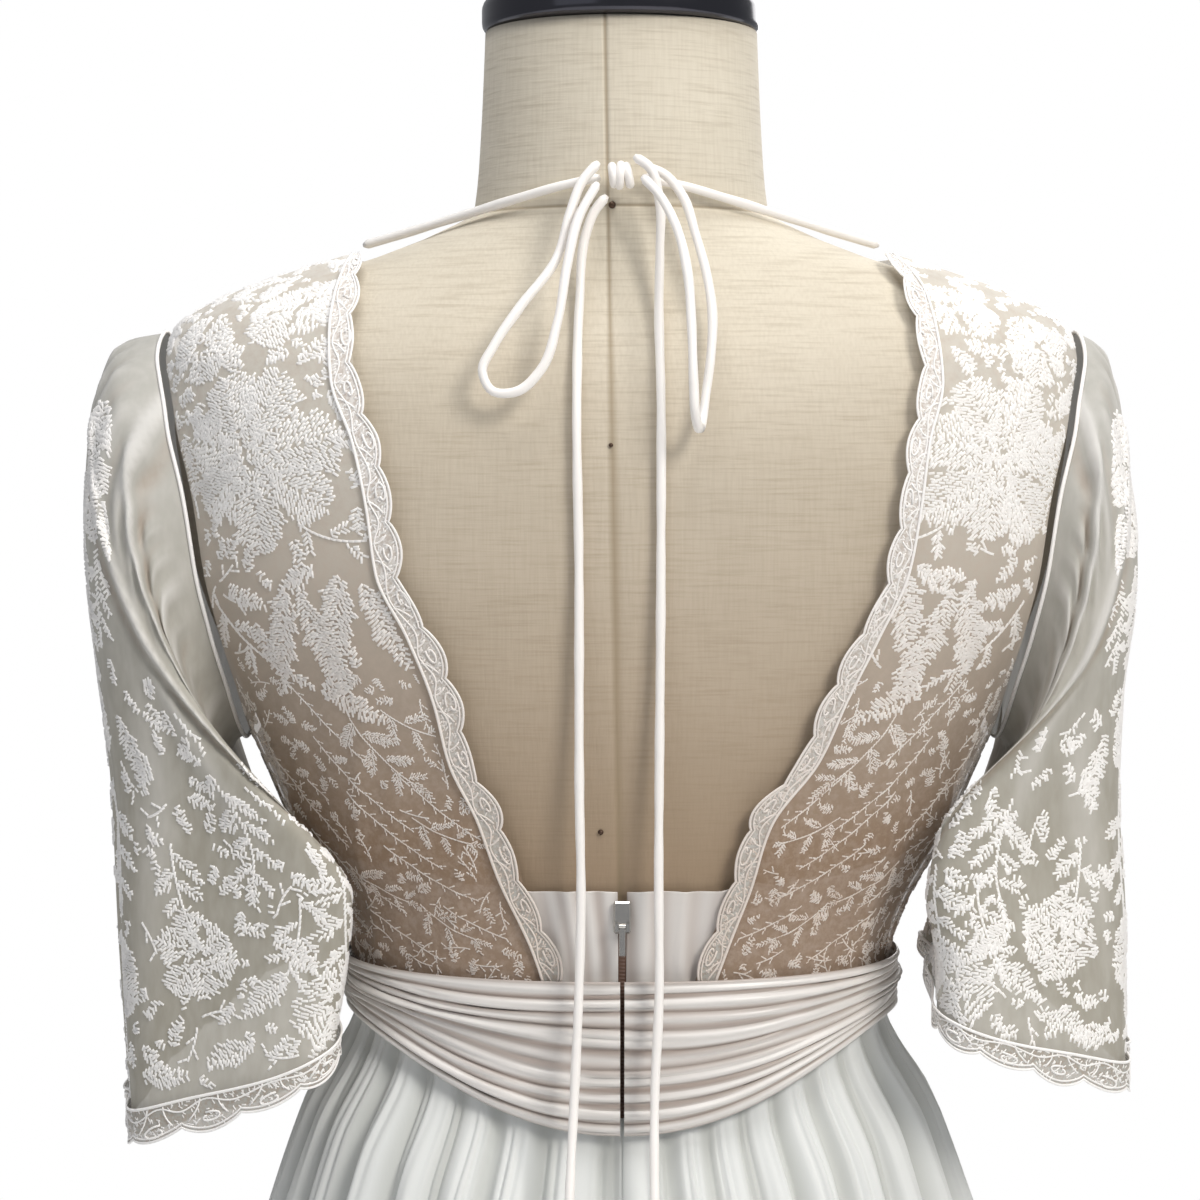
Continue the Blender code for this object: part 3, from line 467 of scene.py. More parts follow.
# Slack folds of a sleeve: angle, slant, share of its length, depth in mm, width in radians
SLACKS = (
    (2.05, 1.3, 0.30, 2.0, 0.10), (2.35, 1.0, 0.42, -1.5, 0.12), (1.30, 0.6, 0.40, 1.0, 0.10),
    (0.95, -0.5, 0.62, 0.9, 0.13), (4.15, -1.1, 0.36, 1.8, 0.11), (5.00, 0.5, 0.55, 1.0, 0.13),
    (1.30, 3.7, 0.14, 2.4, 0.09), (1.52, 3.7, 0.14, -1.5, 0.09), (1.55, 5.0, 0.37, 2.4, 0.10),
    (1.30, 5.0, 0.37, -1.5, 0.10), (2.55, 0.6, 0.28, 1.8, 0.08), (4.45, -0.8, 0.26, 1.8, 0.08),
)
SLACK_DEPTH = {1: 27 * MM, -1: 6 * MM}


def sleeve_creases(turn, along):
    """A sleeve's small folds, in metres: gathers that fan out of the armhole seam and fade, and
    slack folds that slant across the back, the outside and the front of the upper arm."""
    gathers = 1.1 * np.cos(31 * turn + 3 * np.sin(4 * turn)) * bell(along, 0.13, 0.11)
    gathers = gathers * ease(along, 0.03, 0.08)
    slack = 0.0
    for middle, slant, at, depth, wide in SLACKS:
        slack = slack + depth * bell(turn, middle + slant * (along - at), wide) * bell(along, at, 0.22)
    return (gathers + 1.5 * slack) * MM


def sleeve_surface(side):
    """A sleeve by angle round from its top and by share of its length: an oval tube whose lines
    follow the sleeve's table, rippled, slack behind the arm, and blended at its top into the
    armhole's seam."""
    read = SLEEVES[side]
    middle = (ARMHOLE_TOP + ARMHOLE_BOTTOM) / 2
    half = (ARMHOLE_TOP - ARMHOLE_BOTTOM) / 2 - 1.5 * MM

    def surface(turn, along):
        along = np.asarray(along, float)
        height = middle + half * np.cos(turn)
        angle = (ARMHOLE_ANGLE - 0.015) * np.sin(turn)
        angle = angle if side > 0 else np.pi - angle
        seam = on_form(angle + 0 * along, height + 0 * along, SLEEVE_LIFT + 0 * along * turn)
        wave = np.cos(SLEEVE_FOLDS * turn + 1.4 * np.sin(2 * turn))
        ripple = SLEEVE_FOLD * np.clip(along * 1.6, 0, 1) * wave + sleeve_creases(turn % TURN, along)
        x_mid = (read("outer_x", along) + read("inner_x", along)) / 2
        z_mid = (read("outer_z", along) + read("inner_z", along)) / 2
        x_half = (read("outer_x", along) - read("inner_x", along)) / 2
        z_half = (read("outer_z", along) - read("inner_z", along)) / 2
        length = np.hypot(x_half, z_half)
        behind = np.clip(np.sin(turn), 0, None) ** 2 * (1 - np.cos(turn)) / 2
        slack = SLACK_DEPTH[side] * bell(along, 0.55, 0.24)
        slack = slack * np.clip(np.sin(turn), 0, None) * (1 - np.cos(turn)) / 2
        x = x_mid + x_half * (1 + ripple / length) * np.cos(turn) - read("swing", along) * behind - slack
        z = z_mid + z_half * (1 + ripple / length) * np.cos(turn) - read("back_drop", along) * np.sin(turn)
        y = (read("half_depth", along) + ripple) * np.sin(turn) + 0.5 * slack
        tube = np.stack(np.broadcast_arrays(side * x, y, z), -1)
        share = (ease(along, 0, 0.09) + 0 * turn)[..., None]
        return seam * (1 - share) + tube * share

    return surface


SLEEVE_SURFACES = {side: sleeve_surface(side) for side in (1, -1)}


def mesh_of(name, points, *faces):
    """A smooth mesh from points and arrays of faces, each array with faces of one size."""
    mesh = bpy.data.meshes.new(name)
    points = np.asarray(points, np.float32).reshape(-1, 3)
    sizes = np.concatenate([np.full(len(part), part.shape[1]) for part in faces])
    mesh.vertices.add(len(points))
    mesh.vertices.foreach_set("co", points.ravel())
    mesh.loops.add(int(sizes.sum()))
    mesh.loops.foreach_set("vertex_index", np.concatenate([part.ravel() for part in faces]).astype(np.int32))
    mesh.polygons.add(len(sizes))
    mesh.polygons.foreach_set("loop_start", (np.cumsum(sizes) - sizes).astype(np.int32))
    mesh.update(calc_edges=True)
    mesh.validate()
    mesh.shade_smooth()
    return mesh


def grid_faces(rows, columns, closed=False, flip=False):
    """Four-sided faces through a grid of points, joined round its columns where it is closed."""
    index = np.arange(rows * columns).reshape(rows, columns)
    if closed:
        index = np.concatenate([index, index[:, :1]], axis=1)
    faces = np.stack((index[:-1, :-1], index[:-1, 1:], index[1:, 1:], index[1:, :-1]), -1).reshape(-1, 4)
    return faces[:, ::-1] if flip else faces


def joined(parts):
    """Points and faces of several shapes as one, each shape a pair of points and a list of faces."""
    points = []
    groups = {}
    total = 0
    for some, faces in parts:
        some = np.asarray(some).reshape(-1, 3)
        for part in faces:
            groups.setdefault(part.shape[1], []).append(part + total)
        points.append(some)
        total += len(some)
    return np.concatenate(points), [np.concatenate(found) for found in groups.values()]


def place(name, mesh, finish, nodes=(), wall=0.0, offset=1.0, body=BODY):
    """Put a mesh in the scene on its body, with its finish, its wall and the nodes it stands for."""
    made = bpy.data.objects.new(name, mesh)
    bpy.context.scene.collection.objects.link(made)
    made.data.materials.append(finish)
    if wall:
        solid = made.modifiers.new("wall", "SOLIDIFY")
        solid.thickness = wall
        solid.offset = offset
        solid.use_even_offset = True
    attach(made, body)
    if nodes:
        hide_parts(*nodes)
    return made


def ring_profile(radius, sides, tall=1.0):
    """A round profile as offsets to the side and up, from sines and cosines."""
    angle = np.arange(sides) * TURN / sides
    return np.stack([radius * np.cos(angle), radius * tall * np.sin(angle)], 1)


def tube(path, up, profile, closed=False):
    """A closed tube: a profile carried along a path, turned square to the path's tangent and an up."""
    path = np.asarray(path, float)
    if closed:
        tangent = np.roll(path, -1, axis=0) - np.roll(path, 1, axis=0)
    else:
        tangent = np.gradient(path, axis=0)
    tangent /= np.linalg.norm(tangent, axis=1, keepdims=True)
    aside = np.cross(tangent, np.broadcast_to(up, path.shape))
    aside /= np.linalg.norm(aside, axis=1, keepdims=True)
    over = np.cross(aside, tangent)
    profile = np.broadcast_to(profile, (len(path),) + profile.shape[-2:])
    points = path[:, None] + profile[..., :1] * aside[:, None] + profile[..., 1:] * over[:, None]
    rows, sides = points.shape[:2]
    faces = grid_faces(rows, sides, closed=True, flip=True)
    if closed:
        last = np.stack([np.arange(sides), (np.arange(sides) + 1) % sides], 1)
        join = np.concatenate([last[:, ::-1] + (rows - 1) * sides, last], axis=1)
        return points, [np.concatenate([faces, join])]
    ends = np.stack([np.arange(sides), np.arange(sides)[::-1] + (rows - 1) * sides])
    return points, [faces, ends]


def turned(profile, steps=96):
    """A turned solid: radius and height pairs, top to bottom, carried round the Z axis."""
    profile = np.asarray(profile, float)
    angle = (np.arange(steps) * TURN / steps)[None, :]
    inner = profile[1:-1]
    x = inner[:, :1] * np.cos(angle)
    y = inner[:, :1] * np.sin(angle)
    points = np.stack([x, y, inner[:, 1:] + 0 * angle], -1)
    rows = len(inner)
    faces = grid_faces(rows, steps, closed=True, flip=True)
    around = np.arange(steps)
    beyond = (around + 1) % steps
    top = np.stack([np.full(steps, rows * steps), around, beyond], 1)
    low = np.stack([np.full(steps, rows * steps + 1), beyond + (rows - 1) * steps,
                    around + (rows - 1) * steps], 1)
    poles = [(0, 0, profile[0, 1]), (0, 0, profile[-1, 1])]
    return np.concatenate([points.reshape(-1, 3), poles]), [faces, top, low]


def rounded(profile, radius, parts=4):
    """A profile with each inner corner cut to a curve of about a radius, by quadratic blends."""
    profile = np.asarray(profile, float)
    made = [profile[:1]]
    for before, corner, after in zip(profile, profile[1:], profile[2:]):
        reach = min(radius, np.linalg.norm(before - corner) * 0.45, np.linalg.norm(after - corner) * 0.45)
        start = corner + (before - corner) / np.linalg.norm(before - corner) * reach
        end = corner + (after - corner) / np.linalg.norm(after - corner) * reach
        t = np.linspace(0, 1, parts + 1)[:, None]
        made.append(start * (1 - t) ** 2 + 2 * corner * t * (1 - t) + end * t * t)
    return np.concatenate(made + [profile[-1:]])


def route_curve(points, step):
    """Points a step apart on a smooth curve through a route's own points, by cubic pieces."""
    points = np.asarray(points, float)
    run = run_along(points)
    slope = np.gradient(points, run, axis=0)
    fine = np.linspace(0, run[-1], 900)
    row = np.clip(np.searchsorted(run, fine) - 1, 0, len(run) - 2)
    width = (run[row + 1] - run[row])[:, None]
    t = ((fine - run[row])[:, None]) / width
    curve = ((1 + 2 * t) * (1 - t) ** 2 * points[row] + t * (1 - t) ** 2 * width * slope[row]
             + t * t * (3 - 2 * t) * points[row + 1] + t * t * (t - 1) * width * slope[row + 1])
    length = run_along(curve)
    marks = np.linspace(0, length[-1], int(round(length[-1] / step)) + 1)
    return np.stack([np.interp(marks, length, curve[:, axis]) for axis in range(3)], 1)


# One stitch: a closed prism with a ridge, along X, across Y and up Z, each from -1 to 1
STITCH = np.array(((-1, -1, 0), (-1, 1, 0), (1, -1, 0), (1, 1, 0), (-0.55, 0, 1), (0.55, 0, 1)), float)
STITCH_QUADS = np.array(((0, 2, 5, 4), (1, 4, 5, 3)))
STITCH_ENDS = np.array(((0, 4, 1), (2, 3, 5)))


def stitches(ground, turn, along, angle, length, width, height):
    """Raised stitches on a cloth: each is the stitch shape, stretched to its length, width and height,
    turned by its angle in the surface's own plane, and stood on the surface."""
    points, first, second, normal = frames(ground["surface"], turn, along, ground["out"])
    along_it = np.cos(angle)[:, None] * first + np.sin(angle)[:, None] * second
    across_it = np.cross(normal, along_it)
    scale = np.stack(np.broadcast_arrays(length / 2 + 0 * angle, width / 2, height), -1)
    local = STITCH[None] * scale[:, None]
    spots = (points[:, None] + ground["proud"] * normal[:, None] + local[..., :1] * along_it[:, None]
             + local[..., 1:2] * across_it[:, None] + local[..., 2:] * normal[:, None])
    base = (np.arange(len(points)) * len(STITCH))[:, None, None]
    return spots, [(STITCH_QUADS + base).reshape(-1, 4), (STITCH_ENDS + base).reshape(-1, 3)]


def laid(ground, at, x, y):
    """Angle and height of points given in metres about a place on a cloth, by lengths measured along
    it, and which of them fall on the cloth."""
    turn, along = at
    surface = ground["surface"]
    steps = np.linspace(*ground["range"], 48)
    line = surface(np.full(48, turn), steps)
    run = run_along(line)
    want = np.interp(along, steps, run) + y
    found = np.interp(want, run, steps)
    near = surface(turn + 0.01 + 0 * found, found) - surface(turn - 0.01 + 0 * found, found)
    angle = turn + x * 0.02 / np.linalg.norm(near, axis=-1)
    return angle, found, (want > 0) & (want < run[-1]) & ground["inside"](angle, found)


def lattice(reach, heading, pitch, stitch, rng):
    """Places for stitches in a square: rows a pitch apart, each row's stitches end to end and
    stepped by half from row to row, turned to a heading and shaken a little."""
    rows = np.arange(-reach, reach, pitch)
    columns = np.arange(-reach, reach, stitch)
    b, a = np.meshgrid(rows, columns, indexing="ij")
    a = a + stitch * 0.5 * (np.arange(len(rows)) % 2)[:, None]
    a = (a + rng.normal(0, 0.12 * stitch, a.shape)).ravel()
    b = (b + rng.normal(0, 0.12 * pitch, b.shape)).ravel()
    return a * np.cos(heading) - b * np.sin(heading), a * np.sin(heading) + b * np.cos(heading)


def leaf(x, y, heading, length, width, lean, widest, size, rng):
    """Stitches of a leaf or petal: two halves of slanting rows on either side of its midline, inside
    an outline whose half width is a sine of a power of the share along it."""
    pitch, stitch = size
    made = []
    for half in (1, -1):
        along_heading = heading + half * lean
        px, py = lattice(length * 0.55 + width * 0.6, along_heading, pitch, stitch, rng)
        px = px + np.cos(heading) * length / 2
        py = py + np.sin(heading) * length / 2
        u = (px * np.cos(heading) + py * np.sin(heading)) / length
        v = -px * np.sin(heading) + py * np.cos(heading)
        ragged = 1 + 0.14 * np.sin(u * length / (2.3 * MM) + 2 * half)
        ragged = ragged + 0.10 * np.sin(u * length / (1.1 * MM))
        edge = width / 2 * np.sin(np.pi * np.clip(u, 0, 1) ** widest) ** 0.62 * ragged
        keep = (u > 0) & (u < 1) & (half * v > -pitch * 0.1) & (half * v < edge)
        count = int(keep.sum())
        made.append(np.stack([x + px[keep], y + py[keep], along_heading + rng.normal(0, 0.16, count),
                              stitch * rng.uniform(0.85, 1.3, count)], 1))
    return np.concatenate(made)


def petal_flower(x, y, radius, heading, petals, size, rng):
    """A flower: broad petals of short stitches, with narrow ones between them towards the middle."""
    made = []
    for i in range(petals):
        turn = heading + TURN * i / petals + rng.normal(0, 0.07)
        reach = radius * rng.uniform(0.68, 0.82)
        wide = 2.3 * radius * np.sin(np.pi / petals) * rng.uniform(0.62, 0.86)
        made.append(leaf(x + 0.24 * radius * np.cos(turn), y + 0.24 * radius * np.sin(turn), turn,
                         reach * rng.uniform(0.9, 1.15), wide, rng.uniform(0.75, 1.15), 1.45, size, rng))
    for i in range(petals):
        turn = heading + TURN * (i + 0.5) / petals + rng.normal(0, 0.1)
        made.append(leaf(x + 0.10 * radius * np.cos(turn), y + 0.10 * radius * np.sin(turn), turn,
                         0.40 * radius, 0.26 * radius, 0.95, 0.8, size, rng))
    return np.concatenate(made)


def stem(x, y, heading, length, bend, step):
    """Places, headings and shares along a stem whose heading turns evenly by its bend."""
    share = (np.arange(max(2, int(length / step))) + 0.5) / max(2, int(length / step))
    turn = heading + bend * share
    gap = length / len(share)
    return x + np.cumsum(gap * np.cos(turn)), y + np.cumsum(gap * np.sin(turn)), turn, share


def leaf_spray(x, y, heading, length, bend, leaves, leaf_size, size, rng):
    """A spray: a stem of end-to-end stitches, leaves on either side that shrink towards its tip,
    and one at the tip."""
    long, wide = leaf_size
    sx, sy, turn, share = stem(x, y, heading, length, bend, size[1] * 0.8)
    made = [np.stack([sx, sy, turn, size[1] * 1.05 + 0 * turn], 1)]
    for i in range(leaves):
        at = (i + 0.6) / leaves
        spot = int(np.clip(at * len(sx), 0, len(sx) - 1))
        shrink = 1.05 - 0.45 * at
        side = 1 if i % 2 else -1
        away = turn[spot] + side * rng.uniform(0.75, 1.05)
        gap = 1.2 * MM
        made.append(leaf(sx[spot] + gap * np.cos(away), sy[spot] + gap * np.sin(away), away,
                         long * shrink * rng.uniform(0.9, 1.1), wide * shrink, 0.75, 0.85, size, rng))
    made.append(leaf(sx[-1], sy[-1], turn[-1], long * 0.75, wide * 0.7, 0.7, 0.85, size, rng))
    return np.concatenate(made)


def twig(x, y, heading, length, bend, size, rng):
    """A fine twig: a stem of stitches with short side shoots, two stitches each."""
    sx, sy, turn, share = stem(x, y, heading, length, bend, size[1] * 0.75)
    made = [np.stack([sx, sy, turn, size[1] + 0 * turn], 1)]
    for i in range(1, len(sx), 2):
        away = turn[i] + (1 if i % 4 == 1 else -1) * rng.uniform(0.6, 1.0)
        for reach in (0.7, 1.6):
            tip_x = sx[i] + reach * size[1] * np.cos(away)
            tip_y = sy[i] + reach * size[1] * np.sin(away)
            made.append(np.array([[tip_x, tip_y, away, size[1] * 0.9]]))
    return np.concatenate(made)


def linear(code):
    """An sRGB hex colour as linear RGBA."""
    parts = np.array([int(code[i:i + 2], 16) for i in (1, 3, 5)]) / 255
    shown = np.where(parts <= 0.04045, parts / 12.92, ((parts + 0.055) / 1.055) ** 2.4)
    return (*shown.tolist(), 1.0)


def hex_colour(name, description, code):
    """A colour property whose default is an sRGB hex value."""
    return bpy.props.FloatVectorProperty(name=name, description=description, subtype="COLOR", size=4,
                                         min=0.0, max=1.0, default=linear(code))


def length_in_mm(name, description, default):
    """A length property whose default is in millimetres."""
    return bpy.props.FloatProperty(name=name, description=description, default=default * MM,
                                   min=0.0, precision=5, unit="LENGTH", subtype="DISTANCE")


class DressColours(bpy.types.PropertyGroup):
    """Colours of the cloths, threads and metals."""

    linen: hex_colour("Linen", "Lit side of the form's linen cover", "#D8D0BF")
    # Painted shade: this lower linen colour darkens the form towards the waist
    linen_shade_low: hex_colour("Linen low", "Linen towards the waist, in painted shade", "#9C8770")
    linen_dark: hex_colour("Linen slub", "Thicker threads in the linen", "#8C7B61")
    thread: hex_colour("Lace thread", "Raised embroidery thread", "#F6F4F2")
    thread_shade: hex_colour("Lace thread shade", "Darker strands of the embroidery thread", "#EAE6E2")
    # Partly the lower thread's own nude colour, partly painted shade
    thread_nude_and_shade: hex_colour("Nude thread", "Thread of the low part of the bodice", "#CBB9AA")
    net: hex_colour("Net", "Fine net of the bodice, high up", "#DCD6CB")
    # Partly the net's own nude colour, partly painted shade; also the painted shade in the organza's folds
    net_nude_and_shade: hex_colour("Nude net", "Fine net of the bodice near the waist", "#9D836B")
    organza: hex_colour("Organza", "Sheer sleeve cloth, near the shoulder", "#B2B0A9")
    # Painted shade: the organza's lower colour darkens the sleeves towards the hem
    organza_shade_low: hex_colour("Organza low", "Sheer sleeve cloth, towards the hem", "#A09B8E")
    satin: hex_colour("Satin", "Under-bodice and waistband", "#DDD9D5")
    satin_shade: hex_colour("Satin shade", "Hollows of the satin's folds", "#A6988F")
    chiffon: hex_colour("Chiffon", "Skirt", "#D8DAD8")
    chiffon_shade: hex_colour("Chiffon shade", "Hollows of the skirt's gathers", "#BEC0BC")
    rouleau: hex_colour("Rouleau", "Ties, loops and knot", "#F3EFEB")
    nickel: hex_colour("Nickel", "Zip slider and pull", "#C9C6C1")
    dark_chrome: hex_colour("Dark chrome", "Neck cap", "#4A4A50")
    enamel: hex_colour("Enamel", "Stand", "#1B1B1D")


class DressSizes(bpy.types.PropertyGroup):
    """Sizes of the stitches, cloths and trims."""

    stitch: length_in_mm("Stitch", "Length of one raised stitch", 2.7)
    stitch_width: length_in_mm("Stitch width", "Width of one raised stitch", 1.1)
    stitch_height: length_in_mm("Stitch height", "How far a stitch stands up", 0.75)
    pitch: length_in_mm("Row pitch", "Space between rows of stitches", 1.16)
    cloth: length_in_mm("Cloth", "Thickness of the satin and chiffon", 0.5)
    trim_cord: length_in_mm("Trim cord", "Thickness of the cord along the scallops", 1.0)
    tie: length_in_mm("Tie", "Thickness of the rouleau ties", TIE_DIAMETER / MM)


def add(tree, kind, settings=None, **inputs):
    """Add a node with its settings. Each input, named or numbered, is linked to a socket or set."""
    made = tree.nodes.new(kind)
    for key, value in (settings or {}).items():
        setattr(made, key, value)
    for key, value in inputs.items():
        socket = made.inputs[int(key[1:])] if key[1:].isdigit() else made.inputs[key.replace("_", " ")]
        if isinstance(value, bpy.types.NodeSocket):
            tree.links.new(value, socket)
        else:
            socket.default_value = value
    return made


def finish_of(name, **sockets):
    """A new Principled material with values set on its shader's own sockets."""
    made = bpy.data.materials.new(name)
    made.use_nodes = True
    shader = made.node_tree.nodes["Principled BSDF"]
    for key, value in sockets.items():
        shader.inputs[key.replace("_", " ")].default_value = value
    return made, made.node_tree, shader


def carried(tree, name):
    """The number that a mesh carries at each point under an attribute's name."""
    return add(tree, "ShaderNodeAttribute", {"attribute_name": name}).outputs["Fac"]


def pattern(tree, scale, detail=2.0, roughness=0.5):
    """Noise on Object coordinates, with its own scale along each axis, as features a metre."""
    place_at = add(tree, "ShaderNodeTexCoord").outputs["Object"]
    sized = add(tree, "ShaderNodeMapping", Vector=place_at, Scale=scale)
    return add(tree, "ShaderNodeTexNoise", Vector=sized.outputs[0], Scale=1.0, Detail=detail,
               Roughness=roughness).outputs[0]


def ranged(tree, value, low, high, start=0.0, end=1.0):
    """A value mapped from low and high to start and end, and held there outside them."""
    return add(tree, "ShaderNodeMapRange", Value=value, From_Min=low, From_Max=high,
               To_Min=start, To_Max=end).outputs[0]


def mixed(tree, share, first, second):
    """One colour mixed with another by a share."""
    return add(tree, "ShaderNodeMix", {"data_type": "RGBA"}, i0=share, i6=first, i7=second).outputs[2]


def bumped(tree, shader, height, strength, distance):
    """Relief on a shader from a height, in metres."""
    made = add(tree, "ShaderNodeBump", Height=height, Strength=strength, Distance=distance)
    tree.links.new(made.outputs[0], shader.inputs["Normal"])


def height_share(tree, low, high):
    """Share of the way up between two heights, from Object coordinates."""
    place_at = add(tree, "ShaderNodeTexCoord").outputs["Object"]
    z = add(tree, "ShaderNodeSeparateXYZ", Vector=place_at).outputs[2]
    return ranged(tree, z, low, high)


def linen_finish(colours):
    """Natural linen, plain woven: matt, with thicker slub threads about 26 mm long that run round
    the form a little over 1 mm apart, a warp at about the same pitch, twice its real size to show,
    painted shade that darkens its lower part, and darker seams."""
    made, tree, shader = finish_of("natural_linen", Roughness=0.86, Sheen_Weight=0.15)
    slub = pattern(tree, (38, 38, 760), 3.0, 0.6)
    warp = pattern(tree, (820, 820, 60), 1.0)
    patch = pattern(tree, (9, 9, 14), 2.0)
    # Painted shade: the linen is blended towards a darker colour lower down, by height
    plain = mixed(tree, height_share(tree, 1.19, 1.44), tuple(colours.linen_shade_low), tuple(colours.linen))
    base = mixed(tree, ranged(tree, slub, 0.48, 0.80, 0.0, 0.36), plain, tuple(colours.linen_dark))
    shade = mixed(tree, ranged(tree, warp, 0.35, 0.75, 0.0, 0.10), base, tuple(colours.linen_dark))
    soft = mixed(tree, ranged(tree, patch, 0.35, 0.7, 0.0, 0.16), shade, tuple(colours.linen_dark))
    seam = carried(tree, "seam")
    soft = mixed(tree, ranged(tree, seam, 0.3, 1.0, 0.0, 0.7), soft, tuple(colours.linen_dark))
    tree.links.new(soft, shader.inputs["Base Color"])
    relief = add(tree, "ShaderNodeMath", {"operation": "ADD"}, i0=slub,
                 i1=ranged(tree, warp, 0.3, 0.7, 0.0, 0.35)).outputs[0]
    bumped(tree, shader, relief, 0.45, 0.35 * MM)
    return made


def thread_finish(colours, name="corded_lace_thread", nude=True):
    """Corded cotton embroidery thread: soft sheen, each stitch a little lighter or darker by its own
    attribute. Where it is asked to, it turns nude low on the bodice: partly the thread's own colour,
    and partly painted shade."""
    made, tree, shader = finish_of(name, Roughness=0.55, Sheen_Weight=0.25)
    tone = carried(tree, "tone")
    base = mixed(tree, tone, tuple(colours.thread_shade), tuple(colours.thread))
    # Low on the bodice the thread blends to nude by height: partly its own colour, partly painted shade
    if nude:
        warm = ranged(tree, tone, 0.2, 1.0, 0.0, 0.6)
        low = mixed(tree, warm, tuple(colours.thread_nude_and_shade), tuple(colours.thread_shade))
        base = mixed(tree, height_share(tree, 1.18, 1.34), low, base)
    tree.links.new(base, shader.inputs["Base Color"])
    bumped(tree, shader, pattern(tree, (1500, 1500, 1500), 1.0), 0.3, 0.2 * MM)
    return made


def sleeve_thread_finish(colours):
    """The same thread on the sleeves, which stays pale all the way down."""
    return thread_finish(colours, "corded_sleeve_thread", False)


def net_finish(colours):
    """Fine nylon tulle, far finer than shows: an even veil that goes from ivory to nude low down,
    partly its own colour and partly painted shade, mottled where the mesh bunches."""
    made, tree, shader = finish_of("nylon_tulle", Roughness=0.8, Alpha=0.72, Sheen_Weight=0.2)
    mottle = pattern(tree, (330, 330, 330), 3.0, 0.65)
    # The net blends to nude lower down by height: partly its own colour, partly painted shade
    veil = mixed(tree, height_share(tree, 1.20, 1.36), tuple(colours.net_nude_and_shade), tuple(colours.net))
    base = mixed(tree, ranged(tree, mottle, 0.42, 0.66, 0.0, 0.35), veil, tuple(colours.thread_nude_and_shade))
    tree.links.new(base, shader.inputs["Base Color"])
    bumped(tree, shader, mottle, 0.3, 0.3 * MM)
    return made


def trim_net_finish(colours):
    """The edgings' closer net, worked over with fill thread, so paler and less sheer, with painted shade
    lower down.
    """
    made, tree, shader = finish_of("filled_edging_net", Roughness=0.75, Alpha=0.86, Sheen_Weight=0.2)
    mottle = pattern(tree, (800, 800, 800), 2.0, 0.6)
    # Painted shade: the edging net blends to a darker colour lower down, by height
    veil = mixed(tree, height_share(tree, 1.12, 1.36), tuple(colours.organza), tuple(colours.thread_shade))
    base = mixed(tree, ranged(tree, mottle, 0.40, 0.62, 0.0, 0.45), veil, tuple(colours.net_nude_and_shade))
    tree.links.new(base, shader.inputs["Base Color"])
    bumped(tree, shader, mottle, 0.4, 0.3 * MM)
    return made


def organza_finish(colours):
    """Silk organza: crisp, sheer plain weave with a faint sheen and fine uneven threads, with painted
    shade lower down, painted shade in the hollows of its folds and a painted highlight on their ridges."""
    made, tree, shader = finish_of("silk_organza", Roughness=0.78, Alpha=0.90, Sheen_Weight=0.1)
    threads = pattern(tree, (240, 240, 90), 2.0)
    fold = carried(tree, "fold")
    # Painted shade: the organza is blended to a darker colour lower down, by height
    cloth = mixed(tree, height_share(tree, 1.20, 1.36), tuple(colours.organza_shade_low), tuple(colours.organza))
    # Painted shade in the hollows of the folds, then a painted highlight on their ridges
    cloth = mixed(tree, ranged(tree, fold, 0.50, 0.0, 0.0, 0.45), cloth, tuple(colours.net_nude_and_shade))
    cloth = mixed(tree, ranged(tree, fold, 0.60, 1.0, 0.0, 0.40), cloth, tuple(colours.thread))
    base = mixed(tree, ranged(tree, threads, 0.35, 0.7, 0.0, 0.12), cloth, tuple(colours.thread_shade))
    tree.links.new(base, shader.inputs["Base Color"])
    bumped(tree, shader, threads, 0.12, 0.2 * MM)
    return made


def hollow_shaded(tree, light, dark, low, high):
    """A colour that deepens in a fold's hollow, by the fold attribute the cloth carries."""
    fold = carried(tree, "fold")
    return mixed(tree, ranged(tree, fold, low, high), dark, light)


def satin_finish(colours):
    """Charmeuse satin: smooth float-faced silk with a soft broad gloss and faint horizontal slubs."""
    made, tree, shader = finish_of("charmeuse_satin", Roughness=0.34, Sheen_Weight=0.2)
    # Painted shade in the hollows of the satin's folds and puckers
    base = hollow_shaded(tree, tuple(colours.satin), tuple(colours.satin_shade), 0.05, 0.75)
    tree.links.new(base, shader.inputs["Base Color"])
    bumped(tree, shader, pattern(tree, (60, 60, 420), 3.0), 0.10, 0.3 * MM)
    return made


def chiffon_finish(colours):
    """Silk chiffon over its own layers: matt and cool white, with a fine crepe grain."""
    made, tree, shader = finish_of("silk_chiffon", Roughness=0.72, Sheen_Weight=0.3)
    # Painted shade in the hollows of the skirt's gathers
    base = hollow_shaded(tree, tuple(colours.chiffon), tuple(colours.chiffon_shade), 0.0, 0.7)
    tree.links.new(base, shader.inputs["Base Color"])
    bumped(tree, shader, pattern(tree, (900, 900, 300), 2.0), 0.12, 0.2 * MM)
    return made


def rouleau_finish(colours):
    """Bias-cut satin rouleau: a soft gloss with slanting drag lines about 3 mm apart."""
    made, tree, shader = finish_of("satin_rouleau", Base_Color=tuple(colours.rouleau), Roughness=0.42,
                                   Sheen_Weight=0.25)
    bumped(tree, shader, pattern(tree, (330, 330, 240), 2.0), 0.35, 0.35 * MM)
    return made


def metal_finish(name, colour, roughness):
    """Plated metal: smooth, with faint wear in its gloss from handling."""
    made, tree, shader = finish_of(name, Base_Color=tuple(colour), Metallic=1.0)
    wear = ranged(tree, pattern(tree, (160, 160, 160), 3.0), 0.3, 0.7, roughness * 0.8, roughness * 1.3)
    tree.links.new(wear, shader.inputs["Roughness"])
    return made


